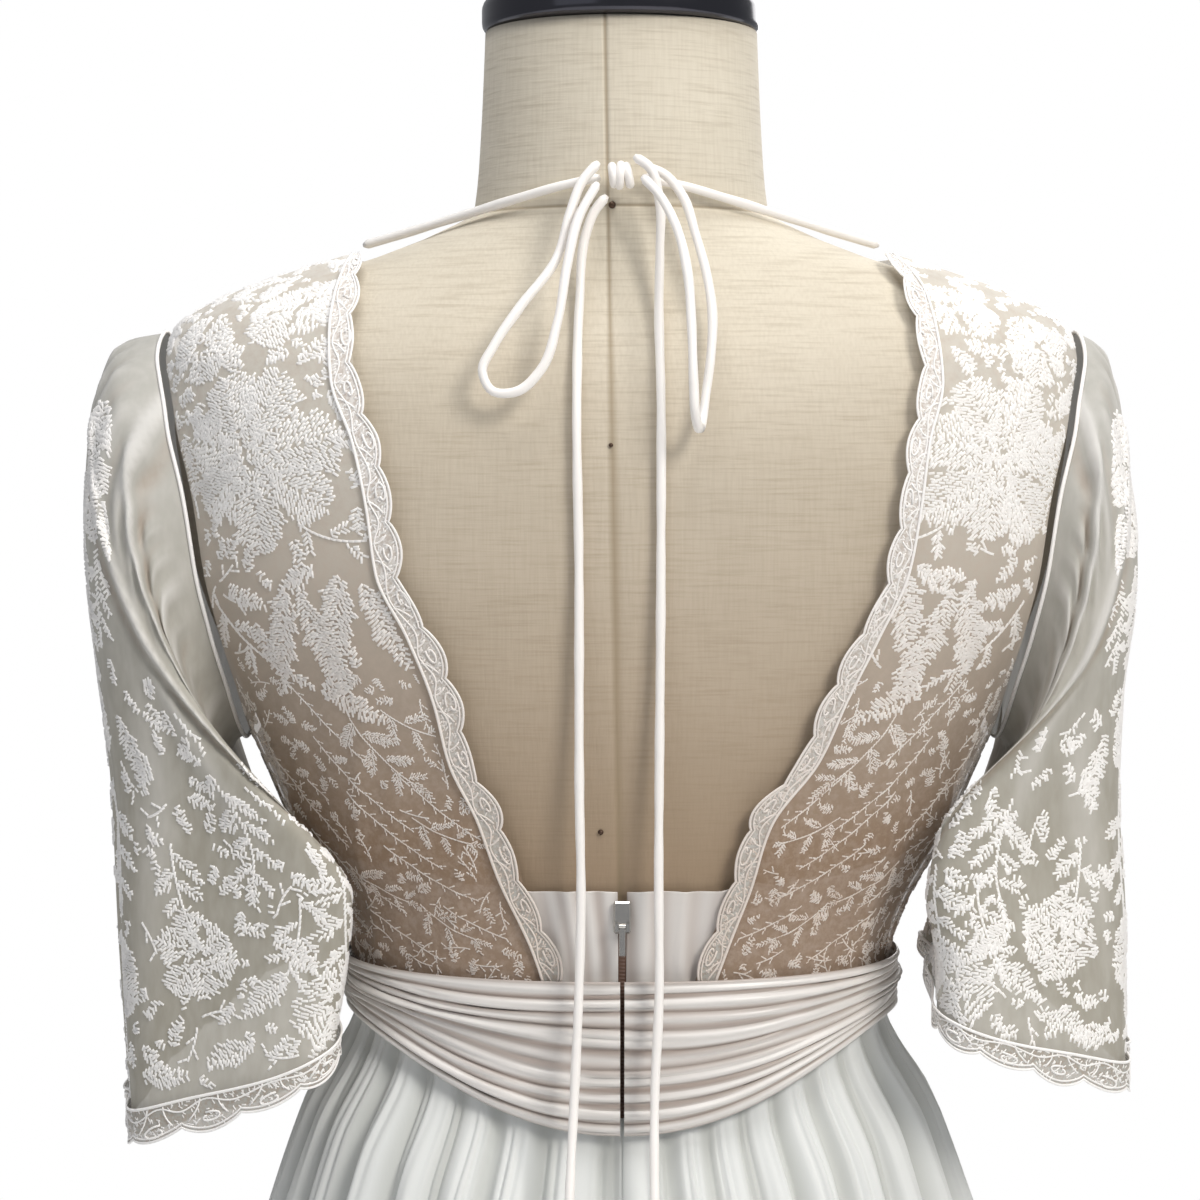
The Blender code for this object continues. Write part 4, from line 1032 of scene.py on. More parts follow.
def enamel_finish(colours):
    """Stoved enamel on cast iron: nearly black, with a slight orange-peel surface 3 mm across."""
    made, tree, shader = finish_of("black_enamel", Base_Color=tuple(colours.enamel), Roughness=0.38,
                                   Coat_Weight=0.3)
    bumped(tree, shader, pattern(tree, (330, 330, 330), 1.0), 0.08, 0.2 * MM)
    return made


def kept(name, make):
    """A material by its name, made once."""
    return bpy.data.materials.get(name) or make(bpy.context.scene.dress_colours)


def mark(mesh, name, values):
    """Give each point of a mesh a number under an attribute's name."""
    made = mesh.attributes.new(name, "FLOAT", "POINT")
    made.data.foreach_set("value", np.asarray(values, np.float32).ravel())
    return mesh


def crowded(low, high, count, at, strength):
    """Values from low to high that crowd towards one of its ends, by a power of an even share."""
    share = np.linspace(0, 1, count + 1)
    share = share ** strength if at == "low" else 1 - (1 - share) ** strength
    return low + (high - low) * share


def ball(middle, radii, steps=20):
    """A ball or egg: a half circle of points turned about Z, stretched by its radii and moved."""
    angle = np.linspace(0, np.pi, steps // 2 + 1)
    points, faces = turned(np.stack([np.sin(angle), np.cos(angle)], 1), steps)
    return points * np.asarray(radii) + np.asarray(middle), faces


# The form's seams: how far the centre-back seam stands from the middle, low and high, and the angles of
# the plain seams at the sides and the centre front
BACK_SEAM = ((1.18, 0.0010), (1.45, 0.0056))
PLAIN_SEAMS = (0.0, np.pi, 3 * BACK)
NECK_SEAM = 1.456
SEAM_WIDE = 0.9 * MM
SEAM_DEEP = 0.55 * MM
PINS = ((0.0040, 1.4560, 1.5), (0.0046, 1.3600, 0.9), (0.0086, 1.2060, 1.1))


def form_points():
    """The form by angle and height, with a groove and two soft lips at each seam. Columns crowd round
    the seams, and those near centre back lean with its seam."""
    (low, near), (high, far) = BACK_SEAM
    heights = np.unique(np.concatenate([np.linspace(FORM[0][0], FORM[-1][0], 104),
                                        NECK_SEAM + np.linspace(-4, 4, 17) * MM]))
    fine = np.linspace(-0.05, 0.05, 17)
    base = np.concatenate([np.linspace(0, TURN, 150, endpoint=False)]
                          + [(seam + fine) % TURN for seam in PLAIN_SEAMS + (BACK,)])
    base = np.unique(np.round(base, 5))[None, :]
    height = heights[:, None]
    wander = near + (height - low) / (high - low) * (far - near)
    lean = side_turn(np.clip(wander, 0.0005, 0.02), height, 0.0) - BACK
    turn = base + lean * bell(base, BACK, 0.3)
    points, _, _, normal = frames(form_surface, turn, np.clip(height, heights[0] + MM, heights[-1] - MM))
    points[..., 2] = height
    dip = 0.0
    for seam in PLAIN_SEAMS + (BACK,):
        gap = np.abs((base - seam + np.pi) % TURN - np.pi) * form("half_width", height) * 0.8
        dip = np.maximum(dip, bell(gap, 0, SEAM_WIDE)) - 0.35 * bell(gap, 2.6 * MM, 1.5 * MM)
    ring = bell(height, NECK_SEAM, SEAM_WIDE) - 0.4 * bell(height, NECK_SEAM - 3 * MM, 1.8 * MM)
    seam = np.maximum(dip, ring + 0 * base)
    return points - (SEAM_DEEP * seam)[..., None] * normal, np.clip(seam, 0, 1)


class DRESS_OT_form(bpy.types.Operator):
    """Linen dress form with its seams and pins, its neck cap, pole and base"""

    bl_idname = "dress.form"
    bl_label = "Form and stand"

    def execute(self, context):
        points, seam = form_points()
        rows, columns = points.shape[:2]
        around = np.arange(columns)
        ends = np.stack([around[::-1], around + (rows - 1) * columns])
        mesh = mesh_of("form_cover", points, grid_faces(rows, columns, closed=True), ends)
        mark(mesh, "seam", seam)
        place("form_cover", mesh, kept("natural_linen", linen_finish), ["form_torso"])
        heads = []
        for x, z, radius in PINS:
            spot = on_form(np.array(side_turn(x, z, 0.0)), np.array(z), radius * 0.4 * MM)
            heads.append(ball(spot, (radius * MM, radius * 0.8 * MM, radius * MM), 16))
        pale = metal_finish("bronzed_pin", linear("#5A4A40"), 0.4)
        for word, some in (("neck", heads[:1]), ("back", heads[1:])):
            points, faces = joined(some)
            place(f"form_pins_{word}", mesh_of("pins", points, *faces), pale)
        self.stand(context.scene.dress_colours)
        return {"FINISHED"}

    def stand(self, colours):
        """Turned cap, pole and base, whose corners are rounded over."""
        gap = SEAM_GAP / 2
        low = FORM[-1][0] + gap
        brow = low + CAP_RIM
        dome = brow + CAP_DOME * 0.6
        crown = brow + CAP_DOME
        cap = ((0.0, KNOB_TOP), (KNOB_RADIUS * 0.7, KNOB_TOP - 1 * MM), (KNOB_RADIUS, KNOB_TOP - 4 * MM),
               (KNOB_RADIUS, KNOB_TOP - 10 * MM), (KNOB_RADIUS * 0.6, crown + 6 * MM),
               (KNOB_RADIUS * 0.8, crown), (CAP_RADIUS * 0.6, dome + 3 * MM),
               (CAP_RADIUS * 0.9, brow + 4 * MM), (CAP_RADIUS, brow), (CAP_RADIUS, low), (0.0, low))
        chrome = metal_finish("dark_chrome_plate", colours.dark_chrome, 0.16)
        points, faces = turned(rounded(cap, 4 * MM))
        place("neck_cap_turned", mesh_of("cap", points, *faces), chrome, ["neck_cap"])
        base = ((0.0, HUB_TOP), (HUB_RADIUS * 0.8, HUB_TOP), (HUB_RADIUS, HUB_TOP - 4 * MM),
                (HUB_RADIUS, BASE_THICK + 6 * MM), (BASE_RADIUS * 0.4, BASE_THICK),
                (BASE_RADIUS - 5 * MM, BASE_THICK - 3 * MM), (BASE_RADIUS, BASE_THICK - 8 * MM),
                (BASE_RADIUS, 0.0), (0.0, 0.0))
        enamel = kept("black_enamel", enamel_finish)
        points, faces = turned(rounded(base, 5 * MM), 128)
        place("stand_foot", mesh_of("foot", points, *faces), enamel, ["stand_base"])
        top = FORM[0][0] - gap
        foot = HUB_TOP + gap
        pole = ((0.0, top), (POLE_RADIUS, top), (POLE_RADIUS, foot), (0.0, foot))
        points, faces = turned(rounded(pole, 0.5 * MM), 48)
        place("stand_column", mesh_of("column", points, *faces), enamel, ["stand_pole"])


class DRESS_OT_under_bodice(bpy.types.Operator):
    """Strapless satin under-bodice with small pleats beside the zip"""

    bl_idname = "dress.under_bodice"
    bl_label = "Under-bodice"

    def execute(self, context):
        satin = kept("charmeuse_satin", satin_finish)
        wall = context.scene.dress_sizes.cloth
        share = np.concatenate([np.linspace(0, 0.9, 22), np.linspace(0.92, 1.0, 8)])[:, None]
        gap = 4 * SEAM_GAP
        left = crowded(gap, BACK - gap * 4, 110, "high", 1.3)
        right = crowded(BACK + gap * 4, np.pi - gap, 110, "low", 1.3)
        for name, node, turn in (
                ("under_satin_left", "under_bodice_back_left", left),
                ("under_satin_right", "under_bodice_back_right", right),
                ("under_satin_front", "under_bodice_front", np.linspace(np.pi + gap, TURN - gap, 181))):
            turn = turn[None, :]
            points = under_surface(turn, share)
            points[..., 2] += 0.9 * MM * np.sin(21 * turn + 2 * np.sin(6 * turn)) * ease(share, 0.8, 1.0)
            puckers = np.sin(88 * turn + 2.4 * np.sin(13 * turn) + 2 * share) * bell(turn, BACK, 0.30)
            points[..., 1] += 0.55 * MM * (0.6 + puckers) * ease(share, 0.15, 0.6) * bell(turn, BACK, 0.45)
            mesh = mesh_of(name, points, grid_faces(*points.shape[:2]))
            # The fold attribute drives painted shade in the hollows of the puckers
            mark(mesh, "fold", 0.52 + 0.26 * puckers * bell(turn, BACK, 0.4) + 0 * share)
            made = place(name, mesh, satin, [node], wall)
            half = "front" not in name
        return {"FINISHED"}


class DRESS_OT_waistband(bpy.types.Operator):
    """Satin waistband draped in long uneven folds"""

    bl_idname = "dress.waistband"
    bl_label = "Waistband"

    def execute(self, context):
        satin = kept("charmeuse_satin", satin_finish)
        wall = context.scene.dress_sizes.cloth
        share = np.linspace(0, 1, 76)[:, None]
        gap = 2 * SEAM_GAP
        left = crowded(gap, BACK - 8 * SEAM_GAP, 84, "high", 1.6)
        right = crowded(BACK + 8 * SEAM_GAP, np.pi - gap, 84, "low", 1.6)
        for name, node, turn in (
                ("band_left", "waistband_back_left", left),
                ("band_right", "waistband_back_right", right),
                ("band_front", "waistband_front", np.linspace(np.pi + gap, TURN - gap, 91))):
            turn = turn[None, :]
            points = band_surface(turn, share)
            side = np.abs(np.cos(turn))
            phase = TURN * (15.5 * share + 0.9 * np.sin(2.3 * turn + 4 * share) + 0.5 * np.sin(5.1 * turn))
            crease = 0.42 * MM * np.sin(phase) * ease(share, 0.05, 0.15) * (1 - ease(share, 0.88, 0.97))
            crease = crease * (0.35 + 0.65 * bell((turn * 1.7) % 1.0, 0.5, 0.3)) * (1 - 0.5 * side)
            points[..., 0] += crease * np.cos(turn)
            points[..., 1] += crease * np.sin(turn)
            mesh = mesh_of(name, points, grid_faces(*points.shape[:2], flip=True))
            drift = 0.010 * np.sin(4.0 * turn + 7.0) * np.sin(np.pi * share)
            # The fold attribute drives painted shade in the hollows of the band's folds
            mark(mesh, "fold", np.clip((band_stand("stand_mm", share + drift) - 0.7) / 2.2, 0, 1))
            made = place(name, mesh, satin, [node], wall)
            half = "front" not in name
        return {"FINISHED"}


class DRESS_OT_skirt(bpy.types.Operator):
    """Floor-length chiffon skirt gathered into the waistband"""

    bl_idname = "dress.skirt"
    bl_label = "Skirt"

    def execute(self, context):
        chiffon = kept("silk_chiffon", chiffon_finish)
        wall = context.scene.dress_sizes.cloth
        drop = np.concatenate([np.linspace(0, 0.12, 22)[:-1], np.linspace(0.12, 1.0, 30)])[:, None]
        for name, node, low, high, count in (
                ("skirt_left", "skirt_back_left", 0.0, BACK, 210),
                ("skirt_right", "skirt_back_right", BACK, np.pi, 210),
                ("skirt_forepart", "skirt_front", np.pi, TURN, 400)):
            turn = np.linspace(low, high, count + 1)[None, :]
            points = skirt_surface(turn + 0 * drop, drop + 0 * turn)
            mesh = mesh_of(name, points, grid_faces(*points.shape[:2], flip=True))
            # The fold attribute drives painted shade in the gathers' hollows, deepest near the waist
            wave = 0.5 + 0.5 * np.cos(gather_phase(turn)) + 0 * drop
            mark(mesh, "fold", 1 - (1 - wave) * (0.35 + 0.65 * ease(1 - drop, 0.5, 1.0)))
            made = place(name, mesh, chiffon, [node], wall)
        return {"FINISHED"}


def panel_turns(side, edge, height, count):
    """Angles across a bodice panel at each height, from the armhole to the neck edge."""
    gap = SEAM_GAP / 2 / form("half_width", height) * 3
    arm = armhole_turn(height) + gap
    stop = np.maximum(edge_turn(edge, height, LACE_LIFT), arm + 0.05)
    front = edge == "front"
    stop = np.minimum(stop, BACK - gap) if front else stop
    low, high = (arm, stop) if side > 0 else (np.pi - stop, np.pi - arm)
    if front:
        low, high = -high, -low
    return low + (high - low) * np.linspace(0, 1, count + 1)[None, :]


PANELS = {
    "back_left": (1, "back_left"),
    "back_right": (-1, "back_right"),
    "front_left": (1, "front"),
    "front_right": (-1, "front"),
}


class DRESS_OT_bodice(bpy.types.Operator):
    """Net panels of the bodice, two backs and two fronts"""

    bl_idname = "dress.bodice"
    bl_label = "Bodice net"

    def execute(self, context):
        net = kept("nylon_tulle", net_finish)
        height = np.unique(np.concatenate([np.linspace(BODICE_LOW, BODICE_HIGH, 76),
                                           [ARMHOLE_BOTTOM, ARMHOLE_TOP]]))[:, None]
        for word, (side, edge) in PANELS.items():
            points = bodice_surface(panel_turns(side, edge, height, 54), height)
            mesh = mesh_of("net", points, grid_faces(*points.shape[:2]))
            made = place(f"bodice_net_{word}", mesh, net, [f"bodice_{word}"])
        return {"FINISHED"}


class DRESS_OT_sleeves(bpy.types.Operator):
    """Sheer organza sleeves with corded armhole seams"""

    bl_idname = "dress.sleeves"
    bl_label = "Sleeves"

    def execute(self, context):
        organza = kept("silk_organza", organza_finish)
        turn = (np.arange(176) * TURN / 176)[None, :]
        along = np.concatenate([np.linspace(0, 0.2, 24)[:-1], np.linspace(0.2, SLEEVE_END, 52)])[:, None]
        for side, word in ((1, "left"), (-1, "right")):
            surface = SLEEVE_SURFACES[side]
            points = surface(turn + 0 * along, along + 0 * turn)
            mesh = mesh_of("sleeve", points, grid_faces(*points.shape[:2], closed=True, flip=side > 0))
            # The fold attribute drives painted shade in the crease hollows and a painted highlight on their
            # ridges
            mark(mesh, "fold", np.clip(0.55 + sleeve_creases(turn, along) / (5 * MM), 0, 1))
            made = place(f"sleeve_organza_{word}", mesh, organza, [f"sleeve_{word}"])
            around = np.arange(140) * TURN / 140
            seam, _, _, normal = frames(surface, around, ARMHOLE_SEAM_AT + 0 * around, -side)
            profile = ring_profile(ARMHOLE_SEAM_RADIUS, 7)
            points, faces = tube(seam + 0.6 * MM * normal, normal, profile, closed=True)
            mesh = mesh_of("seam", points, *faces)
            mark(mesh, "tone", np.full(len(mesh.vertices), 0.7))
            place(f"armhole_seam_{word}", mesh, kept("corded_sleeve_thread", sleeve_thread_finish))
        return {"FINISHED"}


def neck_trim(side, edge):
    """How many scallops an edge has, and a function that gives points and normals on it by the count
    of scallops along it and a distance in metres beyond the edge."""
    front = edge == "front"
    fine = np.linspace(1.222 if front else 1.145, BODICE_HIGH - 1 * MM, 400)
    reach = edge_turn(edge, fine, LACE_LIFT)
    line = on_form(-reach if front else reach, fine, TRIM_LIFT)
    run = run_along(line)
    count = int(round(run[-1] / SCALLOP))

    def at(marks, offset, lift=0.0):
        height = np.interp(marks / count * run[-1], run, fine)
        turn = np.interp(marks / count * run[-1], run, reach)
        radius = np.hypot(*np.moveaxis(on_form(-turn if front else turn, height, TRIM_LIFT), -1, 0)[:2])
        slim = np.interp(height, (1.15, 1.28, 1.42), (0.52, 0.66, 0.76))
        wave = 1.3 * MM * np.sin(marks * 0.83 + 2.0 * side + np.sin(marks * 0.37))
        turn = turn + (offset * slim + wave) / radius
        if front:
            turn = np.minimum(turn, BACK - 1.5 * MM / radius)
        turn = turn if side > 0 else np.pi - turn
        turn = -turn if front else turn
        points, _, _, normal = frames(form_surface, turn, height)
        return points + (TRIM_LIFT - 1.0 * MM + lift) * normal, normal

    return count, at


def hem_trim(side):
    """The same for a sleeve's hem, where what is beyond the edge hangs straight down: points and
    normals by count of scallops and distance."""
    surface = SLEEVE_SURFACES[side]

    def at(marks, offset, lift=0.0):
        turn = marks / SLEEVE_SCALLOPS * TURN + 0 * offset
        along = SLEEVE_END + np.minimum(offset, 0) / SLEEVE_LENGTH + 0 * turn
        points, _, _, normal = frames(surface, turn, along, -side)
        points = points + (1.6 * MM + lift) * normal
        points[..., 2] -= np.maximum(offset, 0)
        return points, normal

    return SLEEVE_SCALLOPS, at


def scallop_reach(marks):
    """How far the scalloped edge stands beyond its line: the size of a sine, round at each top, and
    each scallop a little larger or smaller than the next."""
    uneven = 0.80 + 0.30 * np.sin(2.4 * np.floor(marks + 1e-6) + 0.8)
    return 0.5 * MM + SCALLOP_HIGH * uneven * np.abs(np.sin(np.pi * marks)) ** 0.8


def trim_pieces(word, count, at, hem, node, finishes, cord):
    """One edging: its net strip, a cord along the inside, two cords that follow the scallops and a
    wavy one between, a curl and two short spreading cords in each scallop, and seed stitches. A
    sleeve's hem is a closed ring, and a neck edge ends at both ends."""
    thread, net = finishes
    extra = 2 * MM if hem else 0.0
    parts = 14
    marks = np.arange(count * parts + (0 if hem else 1)) / parts
    share = np.linspace(0, 1, 7)[None, :]
    outer = scallop_reach(marks)[:, None] + extra
    points, _ = at(marks[:, None] + 0 * share, -EDGING + (outer + EDGING) * share)
    rows, columns = points.shape[:2]
    faces = grid_faces(rows, columns)
    if hem:
        near = np.arange(columns - 1)
        far = near + (rows - 1) * columns
        faces = np.concatenate([faces, np.stack([far, far + 1, near + 1, near], 1)])
    mesh = mesh_of("strip", points, faces)
    first = np.array(mesh.polygons[3].normal[:])
    near_normal = at(marks[:1], np.array([-EDGING / 2]))[1][0]
    if first @ near_normal < 0:
        mesh.flip_normals()
    made = place(f"trim_net_{word}", mesh, net, [node])
    length = float(np.linalg.norm(np.diff(points[:, 0], axis=0), axis=1).sum())
    shapes = []

    def run_cord(offset, radius, lift, beats=marks, loop=hem):
        line, up = at(beats, offset, lift)
        shapes.append(tube(line, up, ring_profile(radius, 6, 0.85), closed=loop))

    run_cord(-EDGING + 0 * marks, cord * 0.62, 0.3 * MM)
    run_cord(scallop_reach(marks) + extra - 0.3 * MM, cord * 0.52, 0.25 * MM)
    run_cord(scallop_reach(marks) + extra - 2.0 * MM, cord * 0.36, 0.25 * MM)
    run_cord(-5.9 * MM + 1.6 * MM * np.cos(TURN * marks + 0.7 * np.sin(2.1 * marks)), cord * 0.36, 0.2 * MM)
    for i in range(count):
        wobble = np.sin(3.7 * i + 1.0)
        way = 1 if i % 2 else -1
        share = np.linspace(0, 1, 15)
        angle = (0.9 + 1.9 * share) * np.pi * way + BACK
        size = (1 - 0.62 * share) * (1 + 0.15 * wobble)
        run_cord((-1.0 + 0.5 * wobble) * MM + extra + 2.5 * MM * size * np.sin(angle), cord * 0.42, 0.3 * MM,
                 i + 0.5 + 0.04 * wobble + 0.23 * size * np.cos(angle), False)
        for shift in (-0.36, 0.30):
            spot = np.linspace(0, 1, 6)
            run_cord((-8.2 + 6.6 * spot) * MM + extra * spot, cord * 0.36, 0.15 * MM,
                     i + 0.5 + shift * (0.45 + 0.55 * spot ** 2) + 0.05 * wobble, False)
    points, faces = joined(shapes)
    mesh = mesh_of("cords", points, *faces)
    mark(mesh, "tone", 0.80 + 0 * points[:, 0])
    place(f"trim_cords_{word}", mesh, thread)
    rng = np.random.default_rng(len(word) * 7 + count)
    spots = rng.uniform(0.2, count - 0.2, 52 * count)
    reach = -8.4 * MM + (scallop_reach(spots) + extra + 6.6 * MM) * rng.uniform(0, 1, len(spots)) ** 0.8
    cloth = {"surface": lambda turn, along: at(turn, along)[0], "out": 1, "proud": -0.05 * MM}
    seen = frames(cloth["surface"], spots[:1], reach[:1])[3][0]
    cloth["out"] = 1 if seen @ at(spots[:1], reach[:1])[1][0] > 0 else -1
    facing = rng.normal(0.9, 0.7, len(spots))
    length = rng.uniform(1.3, 2.4, len(spots)) * MM
    points, faces = stitches(cloth, spots, reach, facing, length, cord * 0.62, cord * 0.42)
    mesh = mesh_of("seeds", points, *faces)
    mark(mesh, "tone", np.repeat(np.clip(rng.normal(0.7, 0.25, len(spots)), 0, 1), len(STITCH)))
    place(f"trim_seeds_{word}", mesh, thread)


# Each kind of motif about its own place, from its heading and its own numbers in millimetres
MOTIFS = {
    "flower": lambda heading, radius, petals, size, rng: petal_flower(
        0, 0, radius * MM, heading, petals, size, rng),
    "leaf": lambda heading, length, width, size, rng: leaf(
        0, 0, heading, length * MM, width * MM, 1.12, 0.85, size, rng),
    "spray": lambda heading, length, bend, leaves, size, rng: leaf_spray(
        0, 0, heading, length * MM, bend, leaves, (length * 0.42 * MM, length * 0.17 * MM), size, rng),
    "twig": lambda heading, length, bend, size, rng: twig(0, 0, heading, length * MM, bend, size, rng),
}

# Layout of the back: kind, millimetres from the middle and from the floor, heading, own numbers
BACK_BOLD = (
    ("flower", 151, 1354, 0.25, 36, 7), ("flower", 131, 1413, 0.60, 21, 5),
    ("flower", 172, 1397, 1.10, 16, 5), ("leaf", 118, 1380, -0.60, 24, 11),
    ("leaf", 121, 1392, 0.35, 22, 10), ("leaf", 117, 1362, 0.10, 22, 10),
    ("leaf", 151, 1354, 0.30, 10, 9), ("leaf", 151, 1354, 3.40, 10, 9),
    ("leaf", 127, 1412, 0.90, 10, 6), ("leaf", 104, 1409, 2.60, 20, 9),
    ("leaf", 150, 1414, 1.90, 22, 10), ("leaf", 158, 1388, 2.30, 24, 11),
    ("spray", 131, 1330, -0.70, 30, 0.9, 4), ("leaf", 138, 1303, -1.95, 40, 13),
    ("leaf", 133, 1304, -1.45, 46, 12), ("leaf", 112, 1309, -1.85, 36, 13),
    ("leaf", 106, 1306, -1.30, 38, 12), ("leaf", 99, 1303, -0.95, 28, 10),
    ("leaf", 122, 1312, -2.60, 20, 8), ("leaf", 120, 1283, -1.50, 26, 9),
    ("leaf", 148, 1290, -1.50, 24, 8), ("leaf", 162, 1303, -0.40, 20, 9),
    ("spray", 166, 1299, -1.15, 40, 0.5, 5), ("leaf", 119, 1262, -0.5, 24, 11),
    ("leaf", 121, 1259, 0.9, 18, 8), ("leaf", 180, 1364, -1.4, 26, 11),
    ("leaf", 176, 1340, -1.8, 24, 10),
)
BACK_FINE = (
    ("spray", 112, 1254, -1.30, 34, 0.5, 6), ("spray", 98, 1256, -0.80, 26, 0.6, 5),
    ("twig", 140, 1268, -1.15, 46, 0.3), ("twig", 128, 1244, -1.10, 50, 0.3),
    ("twig", 114, 1222, -1.00, 44, 0.3), ("twig", 94, 1232, -0.95, 40, 0.25),
    ("twig", 146, 1240, -1.25, 52, 0.35), ("twig", 132, 1204, -1.05, 46, 0.3),
    ("twig", 100, 1200, -0.85, 38, 0.35), ("spray", 116, 1192, -0.95, 28, 0.5, 6),
    ("spray", 88, 1212, -0.70, 24, 0.5, 5), ("spray", 84, 1176, -0.9, 24, 0.5, 5),
    ("twig", 134, 1176, -1.20, 36, 0.4), ("twig", 104, 1172, -0.80, 34, 0.3),
    ("twig", 74, 1176, -0.7, 26, 0.3),
)
# Layout of the front, plainer and lower, and of a sleeve: millimetres round its line and share down it
FRONT_BOLD = (
    ("flower", 138, 1362, 0.4, 34, 6), ("flower", 122, 1412, 0.9, 20, 5),
    ("leaf", 158, 1392, 2.2, 24, 11), ("leaf", 130, 1360, 0.3, 17, 8),
    ("leaf", 108, 1392, -0.5, 24, 11), ("spray", 122, 1332, -0.8, 34, 0.8, 5),
    ("leaf", 128, 1306, -1.7, 44, 16), ("leaf", 104, 1312, -1.2, 38, 15),
    ("flower", 96, 1268, 0.2, 22, 6), ("leaf", 146, 1290, -1.3, 40, 14),
    ("spray", 84, 1312, -1.4, 30, 0.6, 4), ("leaf", 122, 1262, -1.0, 28, 12),
    ("leaf", 98, 1344, -0.4, 22, 10), ("leaf", 116, 1376, 0.3, 20, 9),
    ("leaf", 166, 1366, -1.5, 26, 11),
)
FRONT_FINE = (
    ("spray", 66, 1258, -1.1, 32, 0.5, 6), ("spray", 128, 1236, -1.2, 34, 0.5, 6),
    ("twig", 98, 1234, -1.0, 48, 0.3), ("twig", 140, 1214, -1.2, 46, 0.3),
    ("twig", 74, 1222, -0.9, 42, 0.3), ("spray", 104, 1204, -1.0, 28, 0.5, 6),
    ("twig", 52, 1202, -0.9, 34, 0.3), ("twig", 120, 1186, -1.1, 38, 0.3),
    ("spray", 66, 1184, -0.9, 26, 0.5, 5), ("twig", 30, 1176, -0.7, 24, 0.3),
)
SLEEVE_BOLD = (
    ("flower", 0.74, 0.16, 0.3, 16, 5), ("flower", 0.66, 0.24, 1.1, 15, 5),
    ("leaf", 0.92, 0.20, 1.2, 22, 10), ("leaf", 0.60, 0.30, 1.4, 26, 11),
    ("spray", 0.80, 0.28, 1.5, 34, 0.3, 6), ("leaf", 0.30, 0.24, 1.5, 26, 10),
    ("spray", 0.45, 0.36, 1.4, 36, 0.3, 6), ("flower", 0.42, 0.52, 0.5, 18, 6),
    ("leaf", 0.78, 0.50, 1.2, 26, 11), ("leaf", 0.98, 0.53, 1.9, 22, 9),
    ("spray", 1.32, 0.52, 1.2, 40, 0.5, 7), ("spray", 1.95, 0.58, 1.7, 40, -0.4, 7),
    ("spray", 0.62, 0.62, 1.35, 38, 0.3, 6), ("spray", 1.00, 0.64, 1.55, 36, -0.4, 6),
    ("spray", 1.66, 0.66, 1.4, 34, 0.5, 5), ("flower", 1.16, 0.78, 0.2, 18, 6),
    ("leaf", 1.52, 0.74, 0.6, 26, 10), ("leaf", 1.62, 0.80, 2.4, 24, 10),
    ("flower", 0.55, 0.82, 0.4, 17, 5), ("leaf", 0.20, 0.70, 1.2, 24, 10),
    ("leaf", 0.30, 0.86, 0.7, 24, 10), ("spray", 2.30, 0.68, 1.2, 34, 0.4, 6),
    ("leaf", 2.55, 0.78, 1.9, 24, 10), ("leaf", 0.80, 0.92, 0.2, 24, 10),
    ("leaf", 1.42, 0.90, 2.9, 24, 10), ("flower", 1.95, 0.86, 0.2, 16, 5),
    ("spray", 2.75, 0.74, 1.3, 34, 0.4, 6), ("leaf", 2.35, 0.92, 0.3, 24, 10),
    ("spray", 3.02, 0.84, 1.2, 30, 0.4, 5), ("leaf", 2.90, 0.66, 1.4, 22, 9),
)
CELL = 1.3 * MM
FINE_SHARE = 0.62


